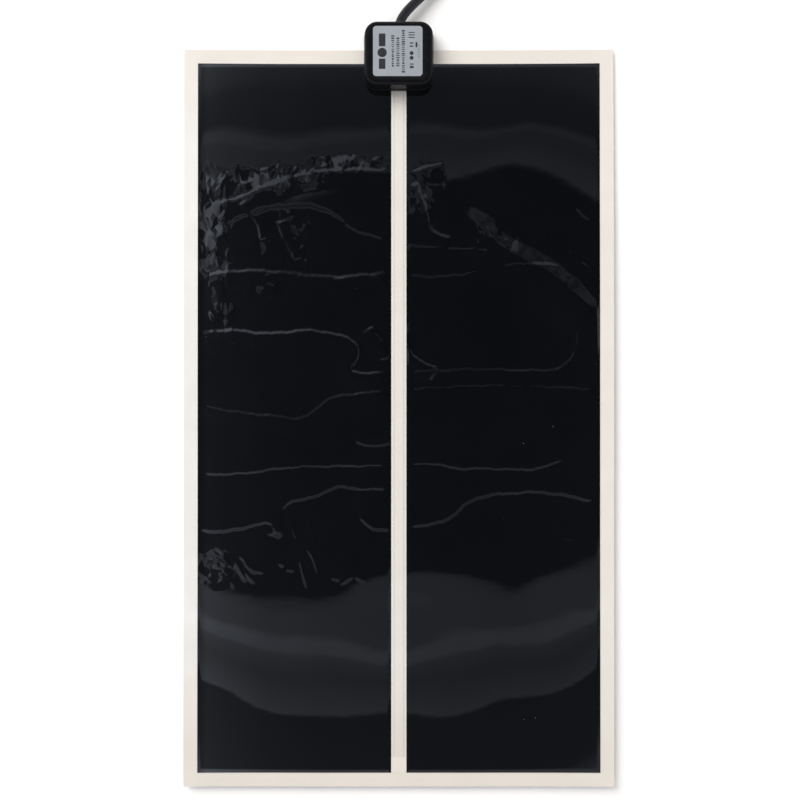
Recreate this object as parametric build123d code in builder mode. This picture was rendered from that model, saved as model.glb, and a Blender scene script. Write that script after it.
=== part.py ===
from build123d import *
import os
from math import cos, radians, sin, tan

# Seedling heat mat: a laminated carbon-film mat with a terminal box, a coiled cord and a two-pin plug.
# Frame: origin at the centre of the mat's underside, +Y towards the terminal box, +Z out of the glossy face.
# All sizes are in millimetres.

os.makedirs("parts", exist_ok=True)

# ---- mat ----
MAT_WIDTH = 280.0
MAT_LENGTH = 480.0
MAT_CORNER_R = 1.0
BORDER = 9.0
GAP = 10.0
PANEL_WIDTH = (MAT_WIDTH - 2 * BORDER - GAP) / 2
PANEL_LENGTH = MAT_LENGTH - 2 * BORDER
PANEL_X = (GAP + PANEL_WIDTH) / 2
PANEL_TOP = PANEL_LENGTH / 2

BACK_FILM_T = 0.25
FOIL_T = 0.05
PANEL_T = 0.15
MAT_T = 0.60
FOIL_TOP = BACK_FILM_T + FOIL_T

BUS_BAR_WIDTH = 6.5
RETURN_STRIP_WIDTH = 5.0
RETURN_STRIP_END = 221.0
STRIP_LAP = 6.0
STRIP_LAP_OVERLAP = 1.0
TAPE_WIDTH = 8.0
TAPE_TOP = 221.5
TAPE_BOTTOM = -221.0

# ---- terminals: the live one sits on the upper bus bar, the neutral one on the return strip ----
LIVE_X, LIVE_Y = 15.5, PANEL_TOP - BUS_BAR_WIDTH / 2
NEUTRAL_X, NEUTRAL_Y = 0.0, 218.2
EYELET_FLANGE_R = 2.5
EYELET_HEAD_R = 2.3
EYELET_SHANK_R = 1.5
EYELET_BORE_R = 0.9
EYELET_WEB = 0.2
EYELET_HEAD_T = 0.3
FILM_WINDOW_R = 2.6
TAG_RING_R = 2.6
TAG_T = 0.5
TAG_NECK_WIDTH = 2.0
BARREL_R = 1.6
BARREL_BORE_R = 1.2
BARREL_START = 3.4
BARREL_LENGTH = 4.0
BARREL_NECK_OVERLAP = 0.5

# ---- terminal box ----
BOX_WIDTH = 45.2
BOX_LENGTH = 42.2
BOX_Y = 234.0
BOX_HEIGHT = 15.0
BOX_CORNER_R = 8.5
BOX_DRAFT = 2.3
PARTING_Z = 7.5
PARTING_INSET = PARTING_Z * tan(radians(BOX_DRAFT))
BOX_UNDERSIDE = 1.0
BOX_FLOOR_TOP = 2.6
CAVITY_WIDTH = 40.0
CAVITY_LENGTH = 37.2
CAVITY_CORNER_R = 6.2
CEILING_Z = 13.0
TOP_EDGE_R = 2.2
MAT_EDGE_CLEARANCE = 0.3
PAD_INSET = 1.0
SEAL_INSET = 0.5
SEAL_WIDTH = 0.8
SEAL_DEPTH = 0.8
LABEL_X, LABEL_Y = -0.65, BOX_Y + 1.05
LABEL_WIDTH, LABEL_LENGTH = 31.8, 32.2
LABEL_R = 2.2
LABEL_T = 0.2
LABEL_RECESS = 0.3
LABEL_GAP = 0.3
TERMINAL_HOLE_R = 1.65

SCREW_X, SCREW_Y = 15.5, 247.0
BASE_BOSS_R = 3.2
COVER_BOSS_R = 3.0
SCREW_HOLE_R = 1.45
SCREW_SHANK_R = 1.25
SCREW_PILOT_R = 1.3
SCREW_HEAD_R = 2.7
SCREW_HEAD_T = 1.45
SCREW_SINK = 0.1
SCREW_TIP_Z = 12.0
PILOT_TOP_Z = 12.2
CROSS_WIDTH = 0.6
CROSS_DEPTH = 0.6

HOOK_X = 10.0
HOOK_WIDTH = 6.0
HOOK_T = 1.2
HOOK_GAP = 0.1
HOOK_BOTTOM = 4.8
HOOK_BARB = 0.5
HOOK_BARB_HEIGHT = 0.9
HOOK_ROOT_HEIGHT = 5.0

# ---- cord ----
CORD_R = 3.0
CORD_X = 0.6
CORD_Z = 7.5
SHEATH_BORE_R = 2.45
CORE_R = 1.15
CORE_OFFSET = 1.2
SHEATH_START_Y = 242.5
CORD_STRAIGHT_END_Y = 253.6
EXIT_BEND_R = 9.0
EXIT_BEND_ANGLE = 27.0
# Two points that the cord's axis passes on its way down from the box to the floor.
CORD_DESCENT = ((10.2, 268.4, 6.9), (32.0, 286.5, 3.9))
CORD_CLEARANCE = 0.05
FLOOR_AXIS_Z = CORD_R + CORD_CLEARANCE
COIL_X = 64.0
COIL_ENTRY_Y = 296.0
COIL_OUTER_R = 70.0
COIL_PITCH = 7.0
COIL_HALF_TURNS = 7
COIL_LAST_R_STEP = 1.0
# Distance travelled from the last half turn, and the height of the cord's axis there.
CROSSING_CLIMB = ((14.0, 6.0), (28.0, 9.0), (56.0, 9.3))

GROMMET_NECK_R = 4.0
GROMMET_HOLE_R = 4.05
GROMMET_INNER_R = 4.8
GROMMET_LIP_R = 3.9
GROMMET_INNER_T = 1.4
GROMMET_LIP_T = 0.7

CLAMP_Y = 246.2
CLAMP_SPACING = 12.8
CLAMP_LENGTH = 19.0
CLAMP_WIDTH = 5.0
CLAMP_BOTTOM = 9.4
CLAMP_TOP = 11.6
PILLAR_R = 2.4
CLAMP_HOLE_R = 1.1
CLAMP_SCREW_R = 0.9
CLAMP_PILOT_R = 0.95
CLAMP_SCREW_TIP = 5.4
CLAMP_PILOT_BOTTOM = 5.0
CLAMP_HEAD_R = 2.0
CLAMP_HEAD_T = 1.1
CRADLE_WIDTH = 5.0
CRADLE_LENGTH = 4.0

CUTOFF_Y, CUTOFF_Z = 234.0, 5.1
CUTOFF_LEFT, CUTOFF_RIGHT = -8.0, 1.0
CUTOFF_R = 2.0
LEAD_R = 0.45
SLEEVE_R = 2.4
SLEEVE_BORE_R = 2.05
SLEEVE_OVERHANG = 0.8
TAIL_LEAD_IN = 0.4
SPLICE_GAP = 0.6
# Points that each core passes inside the box, between the end of the sheath and its own end.
BROWN_TAIL = ((-4.8, 240.3, 7.0), (-12.5, 240.4, 5.8), (-17.4, 237.2, 5.1))
BLUE_TAIL = ((5.6, 237.5, 7.5), (5.8, 232.5, 7.1), (4.0, 229.2, 6.0))
SPLICE_LEFT, SPLICE_RIGHT = -14.2, -10.2
SPLICE_MIDDLE = (SPLICE_LEFT + SPLICE_RIGHT) / 2
BARREL_Z = BOX_FLOOR_TOP + BARREL_R

# ---- plug: its axis runs along -X from the mouth of its boot ----
PLUG_MOUTH_X = -20.0
PLUG_Z = 12.65
BOOT_LENGTH = 22.0
BOOT_MOUTH_R = 4.6
BOOT_ROOT_R = 6.2
BOOT_RIBS = 5
RIB_GROOVE_DEPTH = 0.7
RIB_GROOVE_WIDTH = 1.5
GRIP_END = 44.0
GRIP_ROOT_WIDTH, GRIP_ROOT_HEIGHT = 17.0, 14.0
GRIP_WAIST_WIDTH, GRIP_WAIST_HEIGHT = 20.0, 15.0
GRIP_END_WIDTH, GRIP_END_HEIGHT = 30.0, 19.0
FACE_WIDTH, FACE_HEIGHT = 37.0, 25.2
FACE_R = 9.0
FLANGE_LENGTH = 14.0
SIDE_NOTCH_WIDTH = 6.0
SIDE_NOTCH_DEPTH = 2.4
SIDE_NOTCH_R = 1.5
SHEATH_IN_PLUG = 20.0
INSERT_WIDTH, INSERT_HEIGHT = 29.0, 15.0
INSERT_R = 5.0
INSERT_CLEARANCE = 0.02
PIN_SPACING = 19.0
PIN_R = 2.4
PIN_SHANK_R = 2.0
PIN_LENGTH = 19.0
PIN_TIP_R = 1.6

LIVE_PLANE = Plane(origin=(LIVE_X, LIVE_Y, 0), x_dir=(-1, 0, 0), z_dir=(0, 0, 1))
NEUTRAL_PLANE = Plane(origin=(NEUTRAL_X, NEUTRAL_Y, 0), x_dir=(0, 1, 0), z_dir=(0, 0, 1))
TERMINAL_PLANES = (LIVE_PLANE, NEUTRAL_PLANE)
TERMINALS = ((LIVE_X, LIVE_Y), (NEUTRAL_X, NEUTRAL_Y))
SCREW_PLACES = ((-SCREW_X, SCREW_Y), (SCREW_X, SCREW_Y))
CLAMP_SCREW_PLACES = (
    (CORD_X - CLAMP_SPACING / 2, CLAMP_Y),
    (CORD_X + CLAMP_SPACING / 2, CLAMP_Y),
)


def level(z):
    """A horizontal plane at height z."""
    return Plane.XY.offset(z)


def plug_plane(distance):
    """A plane across the plug, at a distance from the boot's mouth; its own x axis runs along +Y."""
    return Plane(
        origin=(PLUG_MOUTH_X - distance, PLUG_Y, PLUG_Z), x_dir=(0, 1, 0), z_dir=(-1, 0, 0)
    )


# ---- cord route ----
# The cord leaves the box almost straight, turns right, comes down to the floor, winds into a flat spiral
# of half circles, climbs over the spiral's outer strands and ends in the plug.
bend_end_x = CORD_X + EXIT_BEND_R * (1 - cos(radians(EXIT_BEND_ANGLE)))
bend_end_y = CORD_STRAIGHT_END_Y + EXIT_BEND_R * sin(radians(EXIT_BEND_ANGLE))

with BuildLine() as cord_route:
    Line((CORD_X, SHEATH_START_Y, CORD_Z), (CORD_X, CORD_STRAIGHT_END_Y, CORD_Z))
    JernArc(
        start=(CORD_X, CORD_STRAIGHT_END_Y, CORD_Z),
        tangent=(0, 1),
        radius=EXIT_BEND_R,
        arc_size=-EXIT_BEND_ANGLE,
    )
    Spline(
        (bend_end_x, bend_end_y, CORD_Z),
        *CORD_DESCENT,
        (COIL_X, COIL_ENTRY_Y, FLOOR_AXIS_Z),
        tangents=[
            (sin(radians(EXIT_BEND_ANGLE)), cos(radians(EXIT_BEND_ANGLE)), 0),
            (1, 0, 0),
        ],
    )
    strand_y = COIL_ENTRY_Y
    for half_turn in range(COIL_HALF_TURNS):
        strand_r = COIL_OUTER_R - half_turn * COIL_PITCH / 2
        if half_turn == COIL_HALF_TURNS - 1:
            strand_r -= COIL_LAST_R_STEP
        upwards = 1 if half_turn % 2 == 0 else -1
        JernArc(
            start=(COIL_X, strand_y, FLOOR_AXIS_Z),
            tangent=(upwards, 0),
            radius=strand_r,
            arc_size=180,
        )
        strand_y += 2 * strand_r * upwards
    PLUG_Y = strand_y
    Spline(
        (COIL_X, PLUG_Y, FLOOR_AXIS_Z),
        *((COIL_X - run, PLUG_Y, height) for run, height in CROSSING_CLIMB),
        (PLUG_MOUTH_X, PLUG_Y, PLUG_Z),
        tangents=[(-1, 0, 0), (-1, 0, 0)],
    )
    Line(
        (PLUG_MOUTH_X, PLUG_Y, PLUG_Z), (PLUG_MOUTH_X - SHEATH_IN_PLUG, PLUG_Y, PLUG_Z)
    )
cord_start = Plane(
    origin=(CORD_X, SHEATH_START_Y, CORD_Z), x_dir=(1, 0, 0), z_dir=(0, 1, 0)
)

# ==== laminate ====

with BuildPart() as back_film:
    with BuildSketch():
        RectangleRounded(MAT_WIDTH, MAT_LENGTH, MAT_CORNER_R)
    extrude(amount=BACK_FILM_T)
back_film.part.label = "back_film"
export_step(back_film.part, "parts/back_film.step")

with BuildPart() as bus_bar_top:
    with BuildSketch(level(BACK_FILM_T)):
        with Locations((0, PANEL_TOP - BUS_BAR_WIDTH / 2)):
            Rectangle(2 * PANEL_WIDTH + GAP, BUS_BAR_WIDTH)
    extrude(amount=FOIL_T)
bus_bar_top.part.label = "bus_bar_top"
export_step(bus_bar_top.part, "parts/bus_bar_top.step")

with BuildPart() as bus_bar_bottom:
    add(mirror(bus_bar_top.part, about=Plane.XZ, mode=Mode.PRIVATE))
bus_bar_bottom.part.label = "bus_bar_bottom"
export_step(bus_bar_bottom.part, "parts/bus_bar_bottom.step")

# The return strip ends in a lap that lies on the lower bus bar.
strip_start = BUS_BAR_WIDTH - PANEL_TOP
with BuildPart() as return_strip:
    with BuildSketch(level(BACK_FILM_T)):
        with Locations((0, (strip_start + RETURN_STRIP_END) / 2)):
            Rectangle(RETURN_STRIP_WIDTH, RETURN_STRIP_END - strip_start)
    extrude(amount=FOIL_T)
    with BuildSketch(level(FOIL_TOP)):
        with Locations((0, strip_start + STRIP_LAP_OVERLAP - STRIP_LAP / 2)):
            Rectangle(RETURN_STRIP_WIDTH, STRIP_LAP)
    extrude(amount=FOIL_T)
return_strip.part.label = "return_strip"
export_step(return_strip.part, "parts/return_strip.step")

with BuildPart() as heating_panel_left:
    with BuildSketch(level(BACK_FILM_T)):
        with Locations((-PANEL_X, 0)):
            Rectangle(PANEL_WIDTH, PANEL_LENGTH)
    extrude(amount=PANEL_T)
    add(bus_bar_top.part, mode=Mode.SUBTRACT)
    add(bus_bar_bottom.part, mode=Mode.SUBTRACT)
heating_panel_left.part.label = "heating_panel_left"
export_step(heating_panel_left.part, "parts/heating_panel_left.step")

with BuildPart() as heating_panel_right:
    add(mirror(heating_panel_left.part, about=Plane.YZ, mode=Mode.PRIVATE))
    with BuildSketch(level(BACK_FILM_T)):
        with Locations((LIVE_X, LIVE_Y)):
            Circle(FILM_WINDOW_R)
    extrude(amount=PANEL_T, mode=Mode.SUBTRACT)
heating_panel_right.part.label = "heating_panel_right"
export_step(heating_panel_right.part, "parts/heating_panel_right.step")

with BuildPart() as centre_tape:
    with BuildSketch(level(BACK_FILM_T)):
        with Locations((0, (TAPE_TOP + TAPE_BOTTOM) / 2)):
            Rectangle(TAPE_WIDTH, TAPE_TOP - TAPE_BOTTOM)
        with Locations((NEUTRAL_X, NEUTRAL_Y)):
            Circle(FILM_WINDOW_R, mode=Mode.SUBTRACT)
    extrude(amount=PANEL_T)
    add(return_strip.part, mode=Mode.SUBTRACT)
centre_tape.part.label = "centre_tape"
export_step(centre_tape.part, "parts/centre_tape.step")

with BuildPart() as joint_patch:
    with BuildSketch(level(BACK_FILM_T)):
        with Locations((0, (TAPE_BOTTOM - PANEL_TOP) / 2)):
            Rectangle(GAP, TAPE_BOTTOM + PANEL_TOP)
    extrude(amount=PANEL_T)
    add(return_strip.part, mode=Mode.SUBTRACT)
    add(bus_bar_bottom.part, mode=Mode.SUBTRACT)
joint_patch.part.label = "joint_patch"
export_step(joint_patch.part, "parts/joint_patch.step")

# The clear film flows down around every inlay, and is open only over the two terminals.
with BuildPart() as top_film:
    with BuildSketch(level(BACK_FILM_T)):
        RectangleRounded(MAT_WIDTH, MAT_LENGTH, MAT_CORNER_R)
        with Locations(*TERMINALS):
            Circle(FILM_WINDOW_R, mode=Mode.SUBTRACT)
    extrude(amount=MAT_T - BACK_FILM_T)
    for inlay in (
        bus_bar_top,
        bus_bar_bottom,
        return_strip,
        heating_panel_left,
        heating_panel_right,
        centre_tape,
        joint_patch,
    ):
        add(inlay.part, mode=Mode.SUBTRACT)
top_film.part.label = "top_film"
export_step(top_film.part, "parts/top_film.step")

# ==== terminals ====

with BuildPart() as terminal_eyelets:
    for place_x, place_y in TERMINALS:
        with BuildSketch(Plane.XZ.offset(-place_y)):
            with BuildLine():
                Polyline(
                    (place_x, FOIL_TOP),
                    (place_x + EYELET_FLANGE_R, FOIL_TOP),
                    (place_x + EYELET_FLANGE_R, MAT_T),
                    (place_x + EYELET_SHANK_R, MAT_T),
                    (place_x + EYELET_SHANK_R, BOX_FLOOR_TOP + TAG_T),
                    (place_x + EYELET_HEAD_R, BOX_FLOOR_TOP + TAG_T),
                    (place_x + EYELET_HEAD_R, BOX_FLOOR_TOP + TAG_T + EYELET_HEAD_T),
                    (place_x + EYELET_BORE_R, BOX_FLOOR_TOP + TAG_T + EYELET_HEAD_T),
                    (place_x + EYELET_BORE_R, FOIL_TOP + EYELET_WEB),
                    (place_x, FOIL_TOP + EYELET_WEB),
                    close=True,
                )
            make_face()
        revolve(axis=Axis((place_x, place_y, 0), (0, 0, 1)))
terminal_eyelets.part.label = "terminal_eyelets"
export_step(terminal_eyelets.part, "parts/terminal_eyelets.step")

# A ring under the eyelet's head, a short neck, and a barrel that grips the wire.
with BuildPart() as terminal_tags:
    for plane in TERMINAL_PLANES:
        with BuildSketch(plane.offset(BOX_FLOOR_TOP)):
            Circle(TAG_RING_R)
            Rectangle(
                BARREL_START + BARREL_NECK_OVERLAP, TAG_NECK_WIDTH, align=(Align.MIN, Align.CENTER)
            )
            Circle(EYELET_SHANK_R + CORD_CLEARANCE, mode=Mode.SUBTRACT)
        extrude(amount=TAG_T)
        barrel_end = Plane(
            origin=plane.from_local_coords((BARREL_START, 0, BARREL_Z)),
            z_dir=plane.x_dir,
        )
        with BuildSketch(barrel_end):
            Circle(BARREL_R)
        extrude(amount=BARREL_LENGTH)
        with BuildSketch(barrel_end):
            Circle(BARREL_BORE_R)
        extrude(amount=BARREL_LENGTH, mode=Mode.SUBTRACT)
terminal_tags.part.label = "terminal_tags"
export_step(terminal_tags.part, "parts/terminal_tags.step")

# ==== terminal box ====

with BuildPart() as box_adhesive_pad:
    with BuildSketch(level(MAT_T)):
        with Locations((0, BOX_Y)):
            RectangleRounded(
                BOX_WIDTH - 2 * PAD_INSET, BOX_LENGTH - 2 * PAD_INSET, BOX_CORNER_R - PAD_INSET
            )
        with Locations((0, MAT_LENGTH / 2 - PAD_INSET)):
            Rectangle(BOX_WIDTH, BOX_LENGTH, align=(Align.CENTER, Align.MIN), mode=Mode.SUBTRACT)
        with Locations(*TERMINALS):
            Circle(TERMINAL_HOLE_R, mode=Mode.SUBTRACT)
    extrude(amount=BOX_UNDERSIDE - MAT_T)
box_adhesive_pad.part.label = "box_adhesive_pad"
export_step(box_adhesive_pad.part, "parts/box_adhesive_pad.step")

# A ring of seal runs in a groove in the base's rim, and stops either side of the cord.
with BuildPart() as cover_seal:
    with BuildSketch(level(PARTING_Z - SEAL_DEPTH)):
        with Locations((0, BOX_Y)):
            for grow, how in ((SEAL_INSET + SEAL_WIDTH, Mode.ADD), (SEAL_INSET, Mode.SUBTRACT)):
                RectangleRounded(
                    CAVITY_WIDTH + 2 * grow, CAVITY_LENGTH + 2 * grow, CAVITY_CORNER_R + grow, mode=how
                )
        with Locations((CORD_X, BOX_Y + CAVITY_LENGTH / 2)):
            Rectangle(2 * GROMMET_INNER_R, CAVITY_LENGTH / 2, mode=Mode.SUBTRACT)
    extrude(amount=SEAL_DEPTH)
cover_seal.part.label = "cover_seal"
export_step(cover_seal.part, "parts/cover_seal.step")

cord_hole_plane = Plane(
    origin=(CORD_X, BOX_Y + BOX_LENGTH / 2 + 1, CORD_Z), x_dir=(1, 0, 0), z_dir=(0, 1, 0)
)
cavity_top_y = BOX_Y + CAVITY_LENGTH / 2
cavity_front_y = BOX_Y - CAVITY_LENGTH / 2

# The base lies on the film over the mat, and reaches down to the table beyond the mat's edge.
with BuildPart() as box_base:
    with BuildSketch():
        with Locations((0, BOX_Y)):
            RectangleRounded(BOX_WIDTH, BOX_LENGTH, BOX_CORNER_R)
    extrude(amount=PARTING_Z, taper=BOX_DRAFT)
    with BuildSketch(level(BOX_FLOOR_TOP)):
        with Locations((0, BOX_Y)):
            RectangleRounded(CAVITY_WIDTH, CAVITY_LENGTH, CAVITY_CORNER_R)
        with Locations(*SCREW_PLACES):
            Circle(BASE_BOSS_R, mode=Mode.SUBTRACT)
    extrude(amount=PARTING_Z - BOX_FLOOR_TOP, mode=Mode.SUBTRACT)
    with BuildSketch():
        with Locations((0, MAT_LENGTH / 2 + MAT_EDGE_CLEARANCE)):
            Rectangle(2 * BOX_WIDTH, 2 * BOX_LENGTH, align=(Align.CENTER, Align.MAX))
    extrude(amount=BOX_UNDERSIDE, mode=Mode.SUBTRACT)
    with BuildSketch(level(BOX_FLOOR_TOP)):
        with Locations(*CLAMP_SCREW_PLACES):
            Circle(PILLAR_R)
    extrude(amount=CLAMP_BOTTOM - BOX_FLOOR_TOP)
    with BuildSketch(level(BOX_FLOOR_TOP)):
        with Locations((CORD_X, CLAMP_Y)):
            Rectangle(CRADLE_WIDTH, CRADLE_LENGTH)
    extrude(amount=CORD_Z - CORD_R - CORD_CLEARANCE - BOX_FLOOR_TOP)
    with BuildSketch(level(CLAMP_PILOT_BOTTOM)):
        with Locations(*CLAMP_SCREW_PLACES):
            Circle(CLAMP_PILOT_R)
    extrude(amount=CLAMP_BOTTOM - CLAMP_PILOT_BOTTOM, mode=Mode.SUBTRACT)
    with BuildSketch():
        with Locations(*TERMINALS):
            Circle(TERMINAL_HOLE_R)
    extrude(amount=BOX_FLOOR_TOP, mode=Mode.SUBTRACT)
    for place_x, place_y in SCREW_PLACES:
        with Locations(Plane(origin=(place_x, place_y, 0), z_dir=(0, 0, -1))):
            CounterSinkHole(
                SCREW_HOLE_R, SCREW_HEAD_R + SCREW_SINK, depth=PARTING_Z, counter_sink_angle=90
            )
    add(cover_seal.part, mode=Mode.SUBTRACT)
    with BuildSketch(cord_hole_plane):
        Circle(GROMMET_HOLE_R)
    extrude(amount=-(cord_hole_plane.origin.Y - cavity_top_y), mode=Mode.SUBTRACT)
    for side in (-1, 1):
        with BuildSketch(level(HOOK_BOTTOM - HOOK_GAP)):
            with Locations((side * HOOK_X, cavity_front_y)):
                Rectangle(
                    HOOK_WIDTH + 4 * HOOK_GAP, HOOK_BARB + 2 * HOOK_GAP, align=(Align.CENTER, Align.MAX)
                )
        extrude(amount=HOOK_BARB_HEIGHT + 2 * HOOK_GAP, mode=Mode.SUBTRACT)
box_base.part.label = "box_base"
export_step(box_base.part, "parts/box_base.step")

with BuildPart() as box_cover:
    with BuildSketch(level(PARTING_Z)):
        with Locations((0, BOX_Y)):
            RectangleRounded(
                BOX_WIDTH - 2 * PARTING_INSET,
                BOX_LENGTH - 2 * PARTING_INSET,
                BOX_CORNER_R - PARTING_INSET,
            )
    extrude(amount=BOX_HEIGHT - PARTING_Z, taper=BOX_DRAFT)
    fillet(box_cover.faces().sort_by(Axis.Z)[-1].edges(), TOP_EDGE_R)
    with BuildSketch(level(PARTING_Z)):
        with Locations((0, BOX_Y)):
            RectangleRounded(CAVITY_WIDTH, CAVITY_LENGTH, CAVITY_CORNER_R)
        with Locations(*SCREW_PLACES):
            Circle(COVER_BOSS_R, mode=Mode.SUBTRACT)
    extrude(amount=CEILING_Z - PARTING_Z, mode=Mode.SUBTRACT)
    with BuildSketch(level(PARTING_Z)):
        with Locations(*SCREW_PLACES):
            Circle(SCREW_PILOT_R)
    extrude(amount=PILOT_TOP_Z - PARTING_Z, mode=Mode.SUBTRACT)
    with BuildSketch(level(BOX_HEIGHT)):
        with Locations((LABEL_X, LABEL_Y)):
            RectangleRounded(LABEL_WIDTH + LABEL_GAP, LABEL_LENGTH + LABEL_GAP, LABEL_R + LABEL_GAP / 2)
    extrude(amount=-LABEL_RECESS, mode=Mode.SUBTRACT)
    with BuildSketch(cord_hole_plane):
        Circle(GROMMET_HOLE_R)
    extrude(amount=-(cord_hole_plane.origin.Y - cavity_top_y), mode=Mode.SUBTRACT)
    for side in (-1, 1):
        with BuildSketch(level(HOOK_BOTTOM)):
            with Locations((side * HOOK_X, cavity_front_y + HOOK_GAP)):
                Rectangle(HOOK_WIDTH, HOOK_T, align=(Align.CENTER, Align.MIN))
        extrude(amount=PARTING_Z - HOOK_BOTTOM + HOOK_ROOT_HEIGHT)
        with BuildSketch(level(PARTING_Z)):
            with Locations((side * HOOK_X, cavity_front_y)):
                Rectangle(HOOK_WIDTH, HOOK_T, align=(Align.CENTER, Align.MIN))
        extrude(amount=HOOK_ROOT_HEIGHT)
        with BuildSketch(level(HOOK_BOTTOM)):
            with Locations((side * HOOK_X, cavity_front_y + HOOK_GAP)):
                Rectangle(HOOK_WIDTH, HOOK_BARB + HOOK_GAP, align=(Align.CENTER, Align.MAX))
        extrude(amount=HOOK_BARB_HEIGHT)
box_cover.part.label = "box_cover"
export_step(box_cover.part, "parts/box_cover.step")

with BuildPart() as rating_label:
    with BuildSketch(level(BOX_HEIGHT - LABEL_RECESS)):
        with Locations((LABEL_X, LABEL_Y)):
            RectangleRounded(LABEL_WIDTH, LABEL_LENGTH, LABEL_R)
    extrude(amount=LABEL_T)
rating_label.part.label = "rating_label"
export_step(rating_label.part, "parts/rating_label.step")

with BuildPart() as cover_screws:
    for place_x, place_y in SCREW_PLACES:
        with BuildSketch(Plane.XZ.offset(-place_y)):
            with BuildLine():
                Polyline(
                    (place_x, SCREW_SINK),
                    (place_x + SCREW_HEAD_R, SCREW_SINK),
                    (place_x + SCREW_SHANK_R, SCREW_SINK + SCREW_HEAD_T),
                    (place_x + SCREW_SHANK_R, SCREW_TIP_Z - SCREW_SHANK_R),
                    (place_x, SCREW_TIP_Z),
                    close=True,
                )
            make_face()
        revolve(axis=Axis((place_x, place_y, 0), (0, 0, 1)))
    with BuildSketch(level(SCREW_SINK)):
        with Locations(*SCREW_PLACES):
            Rectangle(2 * SCREW_SHANK_R, CROSS_WIDTH)
            Rectangle(CROSS_WIDTH, 2 * SCREW_SHANK_R)
    extrude(amount=CROSS_DEPTH, mode=Mode.SUBTRACT)
cover_screws.part.label = "cover_screws"
export_step(cover_screws.part, "parts/cover_screws.step")

# ==== cord entry ====

wall_outer_y = BOX_Y + BOX_LENGTH / 2
with BuildPart() as cord_grommet:
    with BuildSketch(Plane.XY.offset(CORD_Z)):
        with BuildLine():
            Polyline(
                (CORD_X, cavity_top_y - GROMMET_INNER_T),
                (CORD_X + GROMMET_INNER_R, cavity_top_y - GROMMET_INNER_T),
                (CORD_X + GROMMET_INNER_R, cavity_top_y),
                (CORD_X + GROMMET_NECK_R, cavity_top_y),
                (CORD_X + GROMMET_NECK_R, wall_outer_y),
                (CORD_X + GROMMET_LIP_R, wall_outer_y + GROMMET_LIP_T),
                (CORD_X, wall_outer_y + GROMMET_LIP_T),
                close=True,
            )
        make_face()
    revolve(axis=Axis((CORD_X, 0, CORD_Z), (0, 1, 0)))
    with BuildSketch(cord_start):
        Circle(CORD_R + CORD_CLEARANCE)
    sweep(path=Wire(cord_route.edges()[:3]), mode=Mode.SUBTRACT)
cord_grommet.part.label = "cord_grommet"
export_step(cord_grommet.part, "parts/cord_grommet.step")

with BuildPart() as cord_clamp:
    with BuildSketch(level(CLAMP_BOTTOM)):
        with Locations((CORD_X, CLAMP_Y)):
            SlotOverall(CLAMP_LENGTH, CLAMP_WIDTH)
        with Locations(*CLAMP_SCREW_PLACES):
            Circle(CLAMP_HOLE_R, mode=Mode.SUBTRACT)
    extrude(amount=CLAMP_TOP - CLAMP_BOTTOM)
    with BuildSketch(cord_start):
        Circle(CORD_R + CORD_CLEARANCE)
    extrude(amount=2 * CLAMP_WIDTH, mode=Mode.SUBTRACT)
cord_clamp.part.label = "cord_clamp"
export_step(cord_clamp.part, "parts/cord_clamp.step")

with BuildPart() as clamp_screws:
    with BuildSketch(level(CLAMP_TOP)):
        with Locations(*CLAMP_SCREW_PLACES):
            Circle(CLAMP_HEAD_R)
    extrude(amount=CLAMP_HEAD_T)
    with BuildSketch(level(CLAMP_SCREW_TIP)):
        with Locations(*CLAMP_SCREW_PLACES):
            Circle(CLAMP_SCREW_R)
    extrude(amount=CLAMP_TOP - CLAMP_SCREW_TIP)
    with BuildSketch(level(CLAMP_TOP + CLAMP_HEAD_T)):
        with Locations(*CLAMP_SCREW_PLACES):
            Rectangle(2 * SCREW_SHANK_R, CROSS_WIDTH)
            Rectangle(CROSS_WIDTH, 2 * SCREW_SHANK_R)
    extrude(amount=-CROSS_DEPTH, mode=Mode.SUBTRACT)
clamp_screws.part.label = "clamp_screws"
export_step(clamp_screws.part, "parts/clamp_screws.step")

# ==== wiring inside the box ====

live_barrel_left = LIVE_X - BARREL_START - BARREL_LENGTH
with BuildPart() as thermal_cutoff:
    cutoff_plane = Plane(origin=(CUTOFF_LEFT, CUTOFF_Y, CUTOFF_Z), z_dir=(1, 0, 0))
    with BuildSketch(cutoff_plane):
        Circle(CUTOFF_R)
    extrude(amount=CUTOFF_RIGHT - CUTOFF_LEFT)
    with BuildSketch(cutoff_plane):
        Circle(LEAD_R)
    extrude(amount=SPLICE_MIDDLE + SPLICE_GAP - CUTOFF_LEFT)
    with BuildLine() as right_lead:
        Line((CUTOFF_RIGHT, CUTOFF_Y, CUTOFF_Z), (CUTOFF_RIGHT + 1, CUTOFF_Y, CUTOFF_Z))
        Spline(
            (CUTOFF_RIGHT + 1, CUTOFF_Y, CUTOFF_Z),
            (live_barrel_left - TAIL_LEAD_IN, LIVE_Y, BARREL_Z),
            tangents=[(1, 0, 0), (1, 0, 0)],
        )
        Line(
            (live_barrel_left - TAIL_LEAD_IN, LIVE_Y, BARREL_Z),
            (live_barrel_left + BARREL_LENGTH / 2, LIVE_Y, BARREL_Z),
        )
    with BuildSketch(Plane(origin=(CUTOFF_RIGHT, CUTOFF_Y, CUTOFF_Z), z_dir=(1, 0, 0))):
        Circle(LEAD_R)
    sweep(path=right_lead.wires()[0])
thermal_cutoff.part.label = "thermal_cutoff"
export_step(thermal_cutoff.part, "parts/thermal_cutoff.step")

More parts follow.
